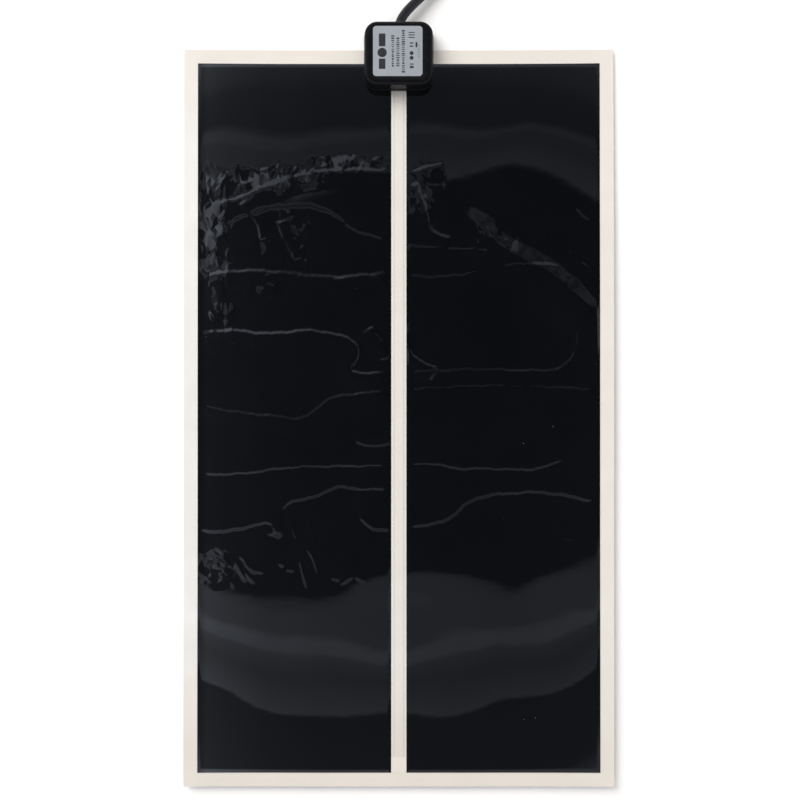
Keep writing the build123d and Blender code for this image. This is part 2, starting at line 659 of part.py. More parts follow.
with BuildPart() as cutoff_sleeve:
    with BuildSketch(
        Plane(origin=(CUTOFF_LEFT - SLEEVE_OVERHANG, CUTOFF_Y, CUTOFF_Z), z_dir=(1, 0, 0))
    ):
        Circle(SLEEVE_R)
        Circle(SLEEVE_BORE_R, mode=Mode.SUBTRACT)
    extrude(amount=CUTOFF_RIGHT - CUTOFF_LEFT + 2 * SLEEVE_OVERHANG)
cutoff_sleeve.part.label = "cutoff_sleeve"
export_step(cutoff_sleeve.part, "parts/cutoff_sleeve.step")

with BuildPart() as crimp_splice:
    with BuildSketch(Plane(origin=(SPLICE_LEFT, CUTOFF_Y, CUTOFF_Z), z_dir=(1, 0, 0))):
        Circle(BARREL_R)
        Circle(BARREL_BORE_R, mode=Mode.SUBTRACT)
    extrude(amount=SPLICE_RIGHT - SPLICE_LEFT)
crimp_splice.part.label = "crimp_splice"
export_step(crimp_splice.part, "parts/crimp_splice.step")

# ==== cord ====

with BuildPart() as cord_sheath:
    with BuildSketch(cord_start):
        Circle(CORD_R)
        Circle(SHEATH_BORE_R, mode=Mode.SUBTRACT)
    sweep(path=cord_route.wires()[0])
cord_sheath.part.label = "cord_sheath"
export_step(cord_sheath.part, "parts/cord_sheath.step")


def box_tail(side):
    """One core's free end inside the box: the brown (side -1) to the splice, the blue (side 1) to its tag."""
    start = (CORD_X + side * CORE_OFFSET, SHEATH_START_Y, CORD_Z)
    if side < 0:
        route = [start, *BROWN_TAIL]
        mouth = (SPLICE_LEFT - TAIL_LEAD_IN, CUTOFF_Y, CUTOFF_Z)
        end = (SPLICE_MIDDLE - SPLICE_GAP, CUTOFF_Y, CUTOFF_Z)
        inwards = (1, 0, 0)
    else:
        barrel_mouth = NEUTRAL_Y + BARREL_START + BARREL_LENGTH
        route = [start, *BLUE_TAIL]
        mouth = (NEUTRAL_X, barrel_mouth + TAIL_LEAD_IN, BARREL_Z)
        end = (NEUTRAL_X, barrel_mouth - BARREL_LENGTH / 2, BARREL_Z)
        inwards = (0, -1, 0)
    with BuildLine() as tail:
        Spline(*route, mouth, tangents=[(0, -1, 0), inwards])
        Line(mouth, end)
    return tail.wires()[0]


def insulated_core(side):
    """One core with a tail at each end; also gives the route of its tail inside the plug."""
    to_box = box_tail(side)
    with BuildPart() as core:
        with BuildSketch(cord_start):
            with Locations((side * CORE_OFFSET, 0)):
                Circle(CORE_R)
        sweep(path=cord_route.wires()[0])
        plug_end = core.faces().filter_by(GeomType.PLANE).sort_by(Axis.X)[0].center()
        with BuildSketch(Plane(origin=to_box @ 0, z_dir=(0, -1, 0))):
            Circle(CORE_R)
        sweep(path=to_box)
        pin_y = PLUG_Y + PIN_SPACING / 2 * (1 if plug_end.Y > PLUG_Y else -1)
        pin_x = PLUG_MOUTH_X - GRIP_END + CORD_CLEARANCE
        with BuildLine() as to_pin:
            Spline(plug_end, (pin_x, pin_y, PLUG_Z), tangents=[(-1, 0, 0), (-1, 0, 0)])
        with BuildSketch(Plane(origin=plug_end, z_dir=(-1, 0, 0))):
            Circle(CORE_R)
        sweep(path=to_pin.wires()[0])
    return core, to_pin.wires()[0]


core_brown, brown_to_pin = insulated_core(-1)
core_brown.part.label = "core_brown"
export_step(core_brown.part, "parts/core_brown.step")

core_blue, blue_to_pin = insulated_core(1)
core_blue.part.label = "core_blue"
export_step(core_blue.part, "parts/core_blue.step")

# ==== plug ====

# A ribbed boot, a waisted grip and a wide contoured flange with a notch in each side.
with BuildPart() as plug_body:
    rib_pitch = BOOT_LENGTH / (BOOT_RIBS + 1)
    with BuildSketch(Plane.XY.offset(PLUG_Z)):
        with BuildLine():
            Polyline(
                (PLUG_MOUTH_X, PLUG_Y),
                (PLUG_MOUTH_X, PLUG_Y + BOOT_MOUTH_R),
                (PLUG_MOUTH_X - BOOT_LENGTH - 1, PLUG_Y + BOOT_ROOT_R),
                (PLUG_MOUTH_X - BOOT_LENGTH - 1, PLUG_Y),
                close=True,
            )
        make_face()
        for rib in range(BOOT_RIBS):
            along = (rib + 0.7) * rib_pitch
            edge_r = BOOT_MOUTH_R + (BOOT_ROOT_R - BOOT_MOUTH_R) * along / BOOT_LENGTH
            with Locations((PLUG_MOUTH_X - along, PLUG_Y + edge_r)):
                Rectangle(RIB_GROOVE_WIDTH, 2 * RIB_GROOVE_DEPTH, mode=Mode.SUBTRACT)
    revolve(axis=Axis((0, PLUG_Y, PLUG_Z), (1, 0, 0)))
    with BuildSketch(plug_plane(BOOT_LENGTH)):
        Ellipse(GRIP_ROOT_WIDTH / 2, GRIP_ROOT_HEIGHT / 2)
    with BuildSketch(plug_plane((BOOT_LENGTH + GRIP_END) / 2)):
        Ellipse(GRIP_WAIST_WIDTH / 2, GRIP_WAIST_HEIGHT / 2)
    with BuildSketch(plug_plane(GRIP_END)):
        Ellipse(GRIP_END_WIDTH / 2, GRIP_END_HEIGHT / 2)
    loft()
    with BuildSketch(plug_plane(GRIP_END - 1)):
        RectangleRounded(FACE_WIDTH, FACE_HEIGHT, FACE_R)
        for side in (-1, 1):
            with Locations((side * FACE_WIDTH / 2, 0)):
                RectangleRounded(
                    2 * SIDE_NOTCH_DEPTH, SIDE_NOTCH_WIDTH, SIDE_NOTCH_R, mode=Mode.SUBTRACT
                )
    extrude(amount=FLANGE_LENGTH + 1)
    with BuildSketch(plug_plane(0)):
        Circle(CORD_R + CORD_CLEARANCE)
    extrude(amount=SHEATH_IN_PLUG + CORD_CLEARANCE, mode=Mode.SUBTRACT)
    for core_tail in (brown_to_pin, blue_to_pin):
        with BuildSketch(Plane(origin=core_tail @ 0, z_dir=(-1, 0, 0))):
            Circle(CORE_R + CORD_CLEARANCE)
        sweep(path=core_tail, mode=Mode.SUBTRACT)
    with BuildSketch(plug_plane(GRIP_END)):
        RectangleRounded(
            INSERT_WIDTH + 2 * INSERT_CLEARANCE, INSERT_HEIGHT + 2 * INSERT_CLEARANCE, INSERT_R
        )
    extrude(amount=FLANGE_LENGTH, mode=Mode.SUBTRACT)
plug_body.part.label = "plug_body"
export_step(plug_body.part, "parts/plug_body.step")

pin_offsets = ((-PIN_SPACING / 2, 0), (PIN_SPACING / 2, 0))
with BuildPart() as plug_insert:
    with BuildSketch(plug_plane(GRIP_END)):
        RectangleRounded(INSERT_WIDTH, INSERT_HEIGHT, INSERT_R - INSERT_CLEARANCE)
        with Locations(*pin_offsets):
            Circle(PIN_SHANK_R + INSERT_CLEARANCE, mode=Mode.SUBTRACT)
    extrude(amount=FLANGE_LENGTH)
plug_insert.part.label = "plug_insert"
export_step(plug_insert.part, "parts/plug_insert.step")

# Each pin has a thinner shank inside the insert, and its shoulder rests on the plug's face.
with BuildPart() as plug_pins:
    with BuildSketch(plug_plane(GRIP_END)):
        with Locations(*pin_offsets):
            Circle(PIN_SHANK_R)
    extrude(amount=FLANGE_LENGTH)
    with BuildSketch(plug_plane(GRIP_END + FLANGE_LENGTH)):
        with Locations(*pin_offsets):
            Circle(PIN_R)
    extrude(amount=PIN_LENGTH)
    tips = plug_pins.faces().group_by(Axis.X)[0]
    fillet(tips.edges(), PIN_TIP_R)
plug_pins.part.label = "plug_pins"
export_step(plug_pins.part, "parts/plug_pins.step")
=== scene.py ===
import math
import random

import bmesh
import bpy
import numpy as np
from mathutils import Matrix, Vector


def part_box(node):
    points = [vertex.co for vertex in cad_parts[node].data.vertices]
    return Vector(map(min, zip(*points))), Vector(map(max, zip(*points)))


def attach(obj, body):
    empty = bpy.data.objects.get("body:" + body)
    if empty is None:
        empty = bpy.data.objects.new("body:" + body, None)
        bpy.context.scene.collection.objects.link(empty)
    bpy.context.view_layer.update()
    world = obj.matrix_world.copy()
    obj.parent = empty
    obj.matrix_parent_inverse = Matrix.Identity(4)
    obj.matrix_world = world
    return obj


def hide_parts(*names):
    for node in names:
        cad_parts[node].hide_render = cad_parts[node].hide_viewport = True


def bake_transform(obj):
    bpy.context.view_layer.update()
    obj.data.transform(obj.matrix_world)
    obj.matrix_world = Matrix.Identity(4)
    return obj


# A seedling heat mat: a glossy carbon-film mat with a terminal box, a coiled cord and a two-pin plug.
# Shapes are worked out in millimetres in the CAD frame and turned into metres when a mesh is made.

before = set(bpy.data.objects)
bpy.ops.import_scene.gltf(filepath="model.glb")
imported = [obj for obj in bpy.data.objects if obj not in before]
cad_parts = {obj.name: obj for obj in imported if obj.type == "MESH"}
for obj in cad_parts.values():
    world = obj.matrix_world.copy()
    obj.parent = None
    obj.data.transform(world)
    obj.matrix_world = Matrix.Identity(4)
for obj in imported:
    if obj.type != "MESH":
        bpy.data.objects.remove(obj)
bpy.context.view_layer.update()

MM = 0.001


def box_mm(node):
    """The lowest and highest corner of a CAD node, in millimetres."""
    low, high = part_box(node)
    return low / MM, high / MM


# ---------------------------------------------------------------- sizes taken from the frame

film_low, film_high = box_mm("back_film")
top_film_high = box_mm("top_film")[1]
panel_low, panel_high = box_mm("heating_panel_left")
right_panel_low, right_panel_high = box_mm("heating_panel_right")
tape_low, tape_high = box_mm("centre_tape")
base_low, base_high = box_mm("box_base")
cover_low, cover_high = box_mm("box_cover")
label_low, label_high = box_mm("rating_label")
grommet_low, grommet_high = box_mm("cord_grommet")
sheath_low, sheath_high = box_mm("cord_sheath")
plug_high = box_mm("plug_body")[1]
pins_low, pins_high = box_mm("plug_pins")

BOX_X = (cover_low.x + cover_high.x) / 2
BOX_Y = (cover_low.y + cover_high.y) / 2
COVER_SIZE = cover_high.x - cover_low.x, cover_high.y - cover_low.y
BASE_SIZE = base_high.x - base_low.x, base_high.y - base_low.y
LABEL_CENTRE = np.array(((label_low.x + label_high.x) / 2, (label_low.y + label_high.y) / 2))
LABEL_WIDTH, LABEL_LENGTH = label_high.x - label_low.x, label_high.y - label_low.y

# ---------------------------------------------------------------- shared shape helpers


def ease(t):
    """0 below 0, 1 above 1, and a smooth rise between."""
    t = np.clip(t, 0.0, 1.0)
    return t * t * (3 - 2 * t)


def smooth_curve(points, start_heading=None, end_heading=None, step=1.0):
    """Points at about every step along a smooth curve through points, which may be 2-D or 3-D."""
    knots = np.array(points, float)
    gaps = np.linalg.norm(np.diff(knots, axis=0), axis=1)
    slopes = np.diff(knots, axis=0) / gaps[:, None]
    count = len(knots)
    matrix = np.eye(count)
    wanted = np.zeros_like(knots)
    wanted[0] = slopes[0] if start_heading is None else start_heading
    wanted[-1] = slopes[-1] if end_heading is None else end_heading
    for i in range(1, count - 1):
        matrix[i, i - 1 : i + 2] = gaps[i], 2 * (gaps[i - 1] + gaps[i]), gaps[i - 1]
        wanted[i] = 3 * (gaps[i] * slopes[i - 1] + gaps[i - 1] * slopes[i])
    headings = np.linalg.solve(matrix, wanted)
    pieces = []
    for i in range(count - 1):
        t = np.linspace(0, 1, max(2, math.ceil(gaps[i] / step) + 1))[:, None]
        piece = (
            (2 * t**3 - 3 * t**2 + 1) * knots[i]
            + (t**3 - 2 * t**2 + t) * gaps[i] * headings[i]
            + (3 * t**2 - 2 * t**3) * knots[i + 1]
            + (t**3 - t**2) * gaps[i] * headings[i + 1]
        )
        pieces.append(piece if i == count - 2 else piece[:-1])
    return np.concatenate(pieces)


def rounded_rectangle(centre, width, length, radius, corner_steps=12, side_steps=1):
    """A counter-clockwise 2-D loop. Loops made with the same step counts match point for point."""
    loop = []
    corners = ((1, 1, 0), (-1, 1, 90), (-1, -1, 180), (1, -1, 270))
    for sign_x, sign_y, first_angle in corners:
        inwards = np.array((sign_x * (width / 2 - radius), sign_y * (length / 2 - radius)))
        corner = np.array(centre[:2]) + inwards
        for step in range(corner_steps + 1):
            angle = math.radians(first_angle + 90 * step / corner_steps)
            loop.append(corner + radius * np.array((math.cos(angle), math.sin(angle))))
    spaced = []
    per_corner = corner_steps + 1
    for i, point in enumerate(loop):
        spaced.append(point)
        if i % per_corner == corner_steps:
            after = loop[(i + 1) % len(loop)]
            spaced += [point + (after - point) * k / side_steps for k in range(1, side_steps)]
    return np.array(spaced)


def at_height(loop, z):
    """A 2-D loop lifted to height z."""
    return np.column_stack((loop, np.full(len(loop), z)))


def rectangle_ring(centre, width, length, radius, z, corner_steps=12):
    return at_height(rounded_rectangle(centre, width, length, radius, corner_steps), z)


def loft(rings, ring_shaped=False):
    """The points and faces of a closed shell through matching rings.

    A ring-shaped shell joins its last ring to its first; any other has a flat cap at each end."""
    count = len(rings[0])
    bands = len(rings) if ring_shaped else len(rings) - 1
    total = count * len(rings)
    faces = []
    for band in range(bands):
        a, b = band * count, (band + 1) * count % total
        faces += [(a + i, a + (i + 1) % count, b + (i + 1) % count, b + i) for i in range(count)]
    if not ring_shaped:
        faces.append(tuple(reversed(range(count))))
        faces.append(tuple(range(total - count, total)))
    return np.concatenate(rings), faces


def joined(shells):
    """Several shells as one list of points and one list of faces."""
    points, faces, offset = [], [], 0
    for shell_points, shell_faces in shells:
        points.append(shell_points)
        faces += [tuple(i + offset for i in face) for face in shell_faces]
        offset += len(shell_points)
    return np.concatenate(points), faces


def tube(centreline, radius, sides=24):
    """A round closed tube along a centreline that never runs vertically. radius may vary along it."""
    path = np.array(centreline, float)
    heading = np.gradient(path, axis=0)
    heading /= np.linalg.norm(heading, axis=1)[:, None]
    across = np.cross(heading, (0, 0, 1))
    across /= np.linalg.norm(across, axis=1)[:, None]
    upward = np.cross(across, heading)
    radii = np.broadcast_to(radius, len(path))
    rings = []
    turns = np.linspace(0, 2 * math.pi, sides, endpoint=False)[:, None]
    for point, side, up, ring_r in zip(path, across, upward, radii):
        rings.append(point + ring_r * (np.cos(turns) * side + np.sin(turns) * up))
    return loft(rings)


def revolved(profile, origin, axis, sides=48, ring_shaped=False):
    """A profile of (distance along axis, radius) pairs turned about an axis, "x" or "y", through origin."""
    turns = np.linspace(0, 2 * math.pi, sides, endpoint=False)
    rings = []
    for along, radius in profile:
        a, b = radius * np.cos(turns), radius * np.sin(turns)
        c = np.full(sides, along)
        local = (c, a, b) if axis == "x" else (a, c, b)
        rings.append(np.array(origin) + np.column_stack(local))
    return loft(rings, ring_shaped)


def make_piece(name, shell, material, body, slot, replaces=(), sharp_angle=38):
    """A mesh object in the CAD frame from a closed shell in millimetres."""
    points, faces = shell
    mesh = bpy.data.meshes.new(name)
    mesh.from_pydata((points * MM).tolist(), [], faces)
    work = bmesh.new()
    work.from_mesh(mesh)
    bmesh.ops.recalc_face_normals(work, faces=work.faces)
    work.to_mesh(mesh)
    work.free()
    mesh.shade_smooth()
    mesh.set_sharp_from_angle(angle=math.radians(sharp_angle))
    mesh.materials.append(material)
    piece = bpy.data.objects.new(name, mesh)
    bpy.context.scene.collection.objects.link(piece)
    if replaces:
        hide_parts(*replaces)
    if body:
        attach(piece, body)
    return piece


# ---------------------------------------------------------------- material helpers

ROUGHNESS_SPREAD = 0.08


def add_node(tree, kind, inputs=(), output=0, **settings):
    """Adds a node, sets or links its inputs and returns one of its outputs."""
    made = tree.nodes.new(kind)
    for key, value in settings.items():
        setattr(made, key, value)
    pairs = inputs.items() if isinstance(inputs, dict) else enumerate(inputs)
    for key, value in pairs:
        if isinstance(value, bpy.types.NodeSocket):
            tree.links.new(value, made.inputs[key])
        elif value is not None:
            made.inputs[key].default_value = value
    return made.outputs[output] if made.outputs else None


def math_node(tree, operation, *values, clamp=False):
    return add_node(tree, "ShaderNodeMath", values, operation=operation, use_clamp=clamp)


def vector_math(tree, operation, *values):
    return add_node(tree, "ShaderNodeVectorMath", values, operation=operation)


def axes_of(tree, place):
    """The X, Y and Z of a position, as three outputs."""
    split = tree.nodes.new("ShaderNodeSeparateXYZ")
    tree.links.new(place, split.inputs[0])
    return split.outputs


def noise(tree, place, scale, detail=2.0, roughness=0.5, output=0):
    inputs = {"Vector": place, "Scale": scale, "Detail": detail, "Roughness": roughness}
    return add_node(tree, "ShaderNodeTexNoise", inputs, output=output)


def stretched(tree, place, scale):
    return add_node(tree, "ShaderNodeMapping", {"Vector": place, "Scale": scale})


def value_ramp(tree, value, stops):
    """A piecewise linear function of value; stops are (value between 0 and 1, grey or colour) pairs."""
    made = tree.nodes.new("ShaderNodeValToRGB")
    tree.links.new(value, made.inputs[0])
    elements = made.color_ramp.elements
    while len(elements) < len(stops):
        elements.new(0.5)
    for element, (position, colour) in zip(elements, stops):
        element.position = position
        grey = not isinstance(colour, tuple)
        element.color = (colour, colour, colour, 1) if grey else (*colour, 1)
    return made.outputs[0]


def mapped(tree, value, from_low, from_high, to_low, to_high, kind="LINEAR"):
    inputs = {0: value, 1: from_low, 2: from_high, 3: to_low, 4: to_high}
    return add_node(tree, "ShaderNodeMapRange", inputs, interpolation_type=kind)


def mixed_colour(tree, share, first, second, blend_type="MIX"):
    inputs = {0: share, 6: first, 7: second}
    return add_node(tree, "ShaderNodeMix", inputs, output=2, data_type="RGBA", blend_type=blend_type)


def mixed_shader(tree, share, first, second):
    return add_node(tree, "ShaderNodeMixShader", (share, first, second))


def bumped(tree, height, distance, normal=None):
    inputs = {"Height": height, "Distance": distance, "Strength": 1.0, "Normal": normal}
    return add_node(tree, "ShaderNodeBump", inputs)


def new_material(name):
    material = bpy.data.materials.new(name)
    material.use_nodes = True
    material.node_tree.nodes.clear()
    tree = material.node_tree
    place = add_node(tree, "ShaderNodeTexCoord", output="Object")
    return material, tree, place


def finish_material(material, shader):
    add_node(material.node_tree, "ShaderNodeOutputMaterial", (shader,))
    return material


def principled(material, colour, roughness, normal=None, **more):
    """Finishes a material with a Principled shader; more holds its other inputs."""
    inputs = {"Base Color": colour, "Roughness": roughness, "Normal": normal, **more}
    return finish_material(material, add_node(material.node_tree, "ShaderNodeBsdfPrincipled", inputs))


def mottled(tree, place, scale, dark, light):
    """A cloudy pattern, and the colour that it gives between dark and light."""
    mottle = noise(tree, place, scale, 4.0, 0.6)
    return mottle, value_ramp(tree, mottle, ((0.3, dark), (0.7, light)))


def surface(
    name, dark, light, mottle_scale, roughness, grain_scale, grain_depth,
    metallic=0.0, specular=0.5, stretch=(1, 1, 1),
):
    """A finish with mottled colour, uneven roughness and a fine grain pressed into the surface."""
    material, tree, place = new_material(name)
    place = stretched(tree, place, stretch)
    mottle, colour = mottled(tree, place, mottle_scale, dark, light)
    grain = noise(tree, place, grain_scale, 3.0, 0.6)
    low, high = roughness - ROUGHNESS_SPREAD, roughness + ROUGHNESS_SPREAD
    more = {"Metallic": metallic, "Specular IOR Level": specular}
    return principled(
        material,
        colour,
        mapped(tree, mottle, 0.3, 0.7, low, high),
        bumped(tree, grain, grain_depth * MM),
        **more,
    )


# ---------------------------------------------------------------- materials


# Where the cover film is finely crumpled: centre and reach in millimetres, and how strongly.
CRUMPLED = (
    ((-124, 118), (18, 50), 1.0),
    ((-88, 155), (42, 11), 0.9),
    ((-34, 166), (34, 7), 0.7),
    ((-117, 68), (16, 22), 0.7),
    ((-74, 116), (28, 24), 0.34),
    ((-92, 83), (28, 8), 0.5),
    ((-120, -98), (16, 16), 0.26),
    ((16, 142), (16, 28), 0.3),
    ((70, 116), (24, 20), 0.2),
    ((110, 102), (18, 22), 0.2),
)
FACETS = ((150, 0.23), (330, 0.17))  # cells per metre, and the widest spread of slopes
FACET_TURN = math.radians(25)
OUTLINE_BEND = (0.009, 0.009, 0.0)  # how far the zones' outlines wander, in metres


def centred(tree, colour):
    """A random colour as a vector whose parts lie between -0.5 and 0.5."""
    return vector_math(tree, "SUBTRACT", colour, (0.5, 0.5, 0.5))


def crumpled_tilt(tree, place):
    """The tilt of small flat facets with sharp edges, present only inside the crumpled zones."""
    wander = centred(tree, noise(tree, place, 60, output="Color"))
    bent = vector_math(tree, "MULTIPLY_ADD", wander, OUTLINE_BEND, place)
    x, y, _ = axes_of(tree, bent)
    presence = 0.0
    for (centre_x, centre_y), (reach_x, reach_y), strength in CRUMPLED:
        along = math_node(tree, "MULTIPLY_ADD", x, 1 / (reach_x * MM), -centre_x / reach_x)
        across = math_node(tree, "MULTIPLY_ADD", y, 1 / (reach_y * MM), -centre_y / reach_y)
        square = math_node(tree, "MULTIPLY", along, along)
        square = math_node(tree, "MULTIPLY_ADD", across, across, square)
        zone = mapped(tree, square, 0.1, 1.0, strength, 0.0)
        presence = math_node(tree, "MAXIMUM", presence, zone)
    turned = {"Vector": bent, "Rotation": (0, 0, FACET_TURN), "Scale": (1.0, 0.5, 1.0)}
    turned = add_node(tree, "ShaderNodeMapping", turned)
    tilt = (0.0, 0.0, 0.0)
    for scale, spread in FACETS:
        inputs = {"Vector": turned, "Scale": scale}
        cells = add_node(tree, "ShaderNodeTexVoronoi", inputs, output="Color", voronoi_dimensions="2D")
        tilt = vector_math(tree, "MULTIPLY_ADD", centred(tree, cells), (spread, spread, 0.0), tilt)
    return add_node(tree, "ShaderNodeVectorMath", {0: tilt, "Scale": presence}, operation="SCALE")


def painted_reflection_boost(tree, place):
    """A painted reflection: how strongly the cover film reflects across the mat, most along the left panel's
    outer edge, where it is painted brighter.
    """
    half = film_high.x * MM
    share = mapped(tree, axes_of(tree, place)[0], -half, half, 0.0, 1.0)
    edge = (panel_low.x - film_low.x) / (2 * film_high.x)
    stops = ((edge, 0.5), (edge + 0.02, 1.0), (0.10, 0.80), (0.19, 0.58), (0.30, 0.5), (0.97, 0.5))
    return math_node(tree, "MULTIPLY", value_ramp(tree, share, stops), 2.0)


def on_panels(tree, place):
    """1 where the film lies on a carbon panel, and 0 elsewhere."""
    x, y, _ = axes_of(tree, place)
    aside = math_node(tree, "ABSOLUTE", x)
    inner = math_node(tree, "SUBTRACT", aside, right_panel_low.x * MM)
    outer = math_node(tree, "SUBTRACT", right_panel_high.x * MM, aside)
    ends = math_node(tree, "SUBTRACT", panel_high.y * MM, math_node(tree, "ABSOLUTE", y))
    inside = math_node(tree, "MINIMUM", math_node(tree, "MINIMUM", inner, outer), ends)
    return mapped(tree, inside, -0.03 * MM, 0.03 * MM, 0.0, 1.0)


def clear_film_material():
    """The glossy clear cover film: a thin Fresnel reflection over the carbon that it is bonded to, or over
    whatever else lies under it."""
    material, tree, place = new_material("clear_film_finish")
    ripple = noise(tree, place, 38, 1.5, 0.4)
    wrinkle = noise(tree, stretched(tree, place, (50, 140, 1)), 1.0, 1.0, 0.5)
    normal = bumped(tree, ripple, 0.014 * MM)
    normal = bumped(tree, wrinkle, 0.004 * MM, normal)
    normal = vector_math(tree, "ADD", normal, crumpled_tilt(tree, place))
    normal = vector_math(tree, "NORMALIZE", normal)
    fresnel = add_node(tree, "ShaderNodeFresnel", {"IOR": 1.52, "Normal": normal})
    inside = add_node(tree, "ShaderNodeNewGeometry", output="Backfacing")
    fresnel = math_node(tree, "MULTIPLY", fresnel, math_node(tree, "SUBTRACT", 1.0, inside))
    # Painted reflection: the film reflects up to twice as strongly near the left panel's outer edge.
    fresnel = math_node(tree, "MULTIPLY", fresnel, painted_reflection_boost(tree, place))
    inputs = {"Color": (1, 1, 1, 1), "Roughness": 0.012, "Normal": normal}
    gloss = add_node(tree, "ShaderNodeBsdfGlossy", inputs)
    clear = add_node(tree, "ShaderNodeBsdfTransparent", {"Color": (0.99, 0.988, 0.985, 1)})
    carbon = add_node(tree, "ShaderNodeBsdfDiffuse", {"Color": carbon_colour(tree, place)[0]})
    loose = mixed_shader(tree, fresnel, clear, gloss)
    bonded = mixed_shader(tree, fresnel, carbon, gloss)
    return finish_material(material, mixed_shader(tree, on_panels(tree, place), loose, bonded))


def film_underside_material():
    """The hidden side of the cover film, bonded to the layer below, so it gives no reflection of its own."""
    material, tree, place = new_material("clear_film_bond")
    tint = value_ramp(tree, noise(tree, place, 50), ((0.4, 0.985), (0.6, 0.995)))
    shader = add_node(tree, "ShaderNodeBsdfTransparent", {"Color": tint})
    return finish_material(material, shader)


def carbon_colour(tree, place):
    """Printed carbon: almost black, with faint grain and a few pale pinholes. Also gives the grain."""
    cloud = noise(tree, place, 22, 4.0, 0.6)
    grain = noise(tree, stretched(tree, place, (1, 0.25, 1)), 1400, 2.0, 0.6)
    blended = math_node(tree, "MULTIPLY_ADD", grain, 0.35, math_node(tree, "MULTIPLY", cloud, 0.65))
    shades = ((0.3, (0.0007, 0.0009, 0.0014)), (0.7, (0.0016, 0.0019, 0.0027)))
    colour = value_ramp(tree, blended, shades)
    inputs = {"Vector": place, "Scale": 70.0}
    cells = add_node(tree, "ShaderNodeTexVoronoi", inputs, output="Distance")
    speck = mapped(tree, cells, 0.0, 0.022, 1.0, 0.0)
    chosen = mapped(tree, noise(tree, place, 33, 0.0), 0.60, 0.64, 0.0, 1.0)
    pinhole = math_node(tree, "MULTIPLY", speck, chosen, clamp=True)
    return mixed_colour(tree, pinhole, colour, (0.32, 0.32, 0.33, 1)), grain


def carbon_material():
    material, tree, place = new_material("carbon_print")
    colour, grain = carbon_colour(tree, place)
    return principled(material, colour, 0.55, bumped(tree, grain, 0.004 * MM), **{"Specular IOR Level": 0.0})


def white_material(name, dark, light, painted_shade_colour, line_x=None):
    """A white film finish with painted shade, darker and more beige towards the ends and the right. line_x
    draws the lines of a tape's foil.
    """
    material, tree, place = new_material(name)
    x, y, _ = axes_of(tree, place)
    mottle, colour = mottled(tree, place, 60, dark, light)
    lower = mapped(tree, y, -0.12, film_low.y * MM, 0.0, 1.0, "SMOOTHSTEP")
    upper = mapped(tree, y, 0.17, film_high.y * MM, 0.0, 0.9)
    right = mapped(tree, x, film_low.x * MM, film_high.x * MM, 0.0, 0.7)
    # Painted shade: a darker, more beige colour mixed in towards both ends and the right side.
    painted_shade_share = math_node(tree, "MAXIMUM", math_node(tree, "MAXIMUM", lower, upper), right)
    colour = mixed_colour(tree, painted_shade_share, colour, (*painted_shade_colour, 1))
    if line_x:
        middle, reach = line_x
        aside = math_node(tree, "ABSOLUTE", math_node(tree, "SUBTRACT", x, middle * MM))
        gap = math_node(tree, "ABSOLUTE", math_node(tree, "SUBTRACT", aside, reach * MM))
        line = mapped(tree, gap, 0.12 * MM, 0.35 * MM, 0.55, 0.0)
        colour = mixed_colour(tree, line, colour, (0.42, 0.40, 0.38, 1))
    roughness = mapped(tree, mottle, 0.3, 0.7, 0.38, 0.50)
    normal = bumped(tree, noise(tree, place, 1500, 3.0, 0.6), 0.005 * MM)
    return principled(material, colour, roughness, normal)


# The third colour of each white finish is its painted shade, mixed in towards the ends and the right.
WHITE_FILM = white_material(
    "white_film_finish", (0.800, 0.786, 0.772), (0.840, 0.828, 0.816), (0.748, 0.700, 0.640)
)
TAPE_LINES = (tape_low.x + tape_high.x) / 2, (tape_high.x - tape_low.x) / 2 - 1.0
WHITE_TAPE = white_material(
    "white_tape_finish", (0.730, 0.706, 0.680), (0.770, 0.750, 0.726), (0.690, 0.640, 0.585), TAPE_LINES
)
CLEAR_FILM = clear_film_material()
FILM_BOND = film_underside_material()
CARBON = carbon_material()
COPPER = surface(
    "copper_foil_finish", (0.62, 0.30, 0.19), (0.80, 0.45, 0.30), 120, 0.32, 900, 0.004, metallic=1.0
)
BRASS = surface("brass_finish", (0.60, 0.44, 0.18), (0.80, 0.64, 0.34), 300, 0.3, 1500, 0.006, 1.0)
FOAM = surface("foam_finish", (0.03, 0.03, 0.03), (0.06, 0.06, 0.06), 900, 0.9, 1600, 0.08)
BOX_PLASTIC = surface(
    "moulded_black_finish", (0.0030, 0.0030, 0.0036), (0.0042, 0.0042, 0.0048), 140, 0.25, 2600, 0.005,
    specular=0.13,
)
RUBBER = surface("soft_black_finish", (0.013, 0.013, 0.014), (0.020, 0.020, 0.021), 400, 0.55, 1800, 0.01)
CORD_PVC = surface(
    "cord_pvc_finish", (0.0062, 0.0062, 0.0066), (0.0092, 0.0092, 0.0096), 160, 0.34, 1500, 0.008,
    specular=0.36,
)
PLUG_PVC = surface(
    "plug_pvc_finish", (0.0120, 0.0120, 0.0128), (0.0170, 0.0170, 0.0178), 150, 0.46, 2000, 0.015
)
INSERT_PLASTIC = surface(
    "insert_finish", (0.016, 0.016, 0.017), (0.024, 0.024, 0.025), 260, 0.36, 1500, 0.01
)
NICKEL = surface(
    "nickel_finish", (0.60, 0.59, 0.56), (0.78, 0.77, 0.74), 500, 0.20, 1400, 0.004,
    metallic=1.0, stretch=(0.08, 1, 1),
)
STEEL = surface("screw_steel_finish", (0.42, 0.42, 0.44), (0.62, 0.62, 0.64), 600, 0.3, 2000, 0.004, 1.0)
LABEL_FILM = surface(
    "label_finish", (0.266, 0.291, 0.322), (0.304, 0.329, 0.360), 60, 0.45, 1800, 0.002,
    stretch=(1, 0.3, 1),
)
LABEL_INK = surface("label_ink_finish", (0.012, 0.012, 0.013), (0.022, 0.022, 0.024), 500, 0.45, 2500, 0.002)
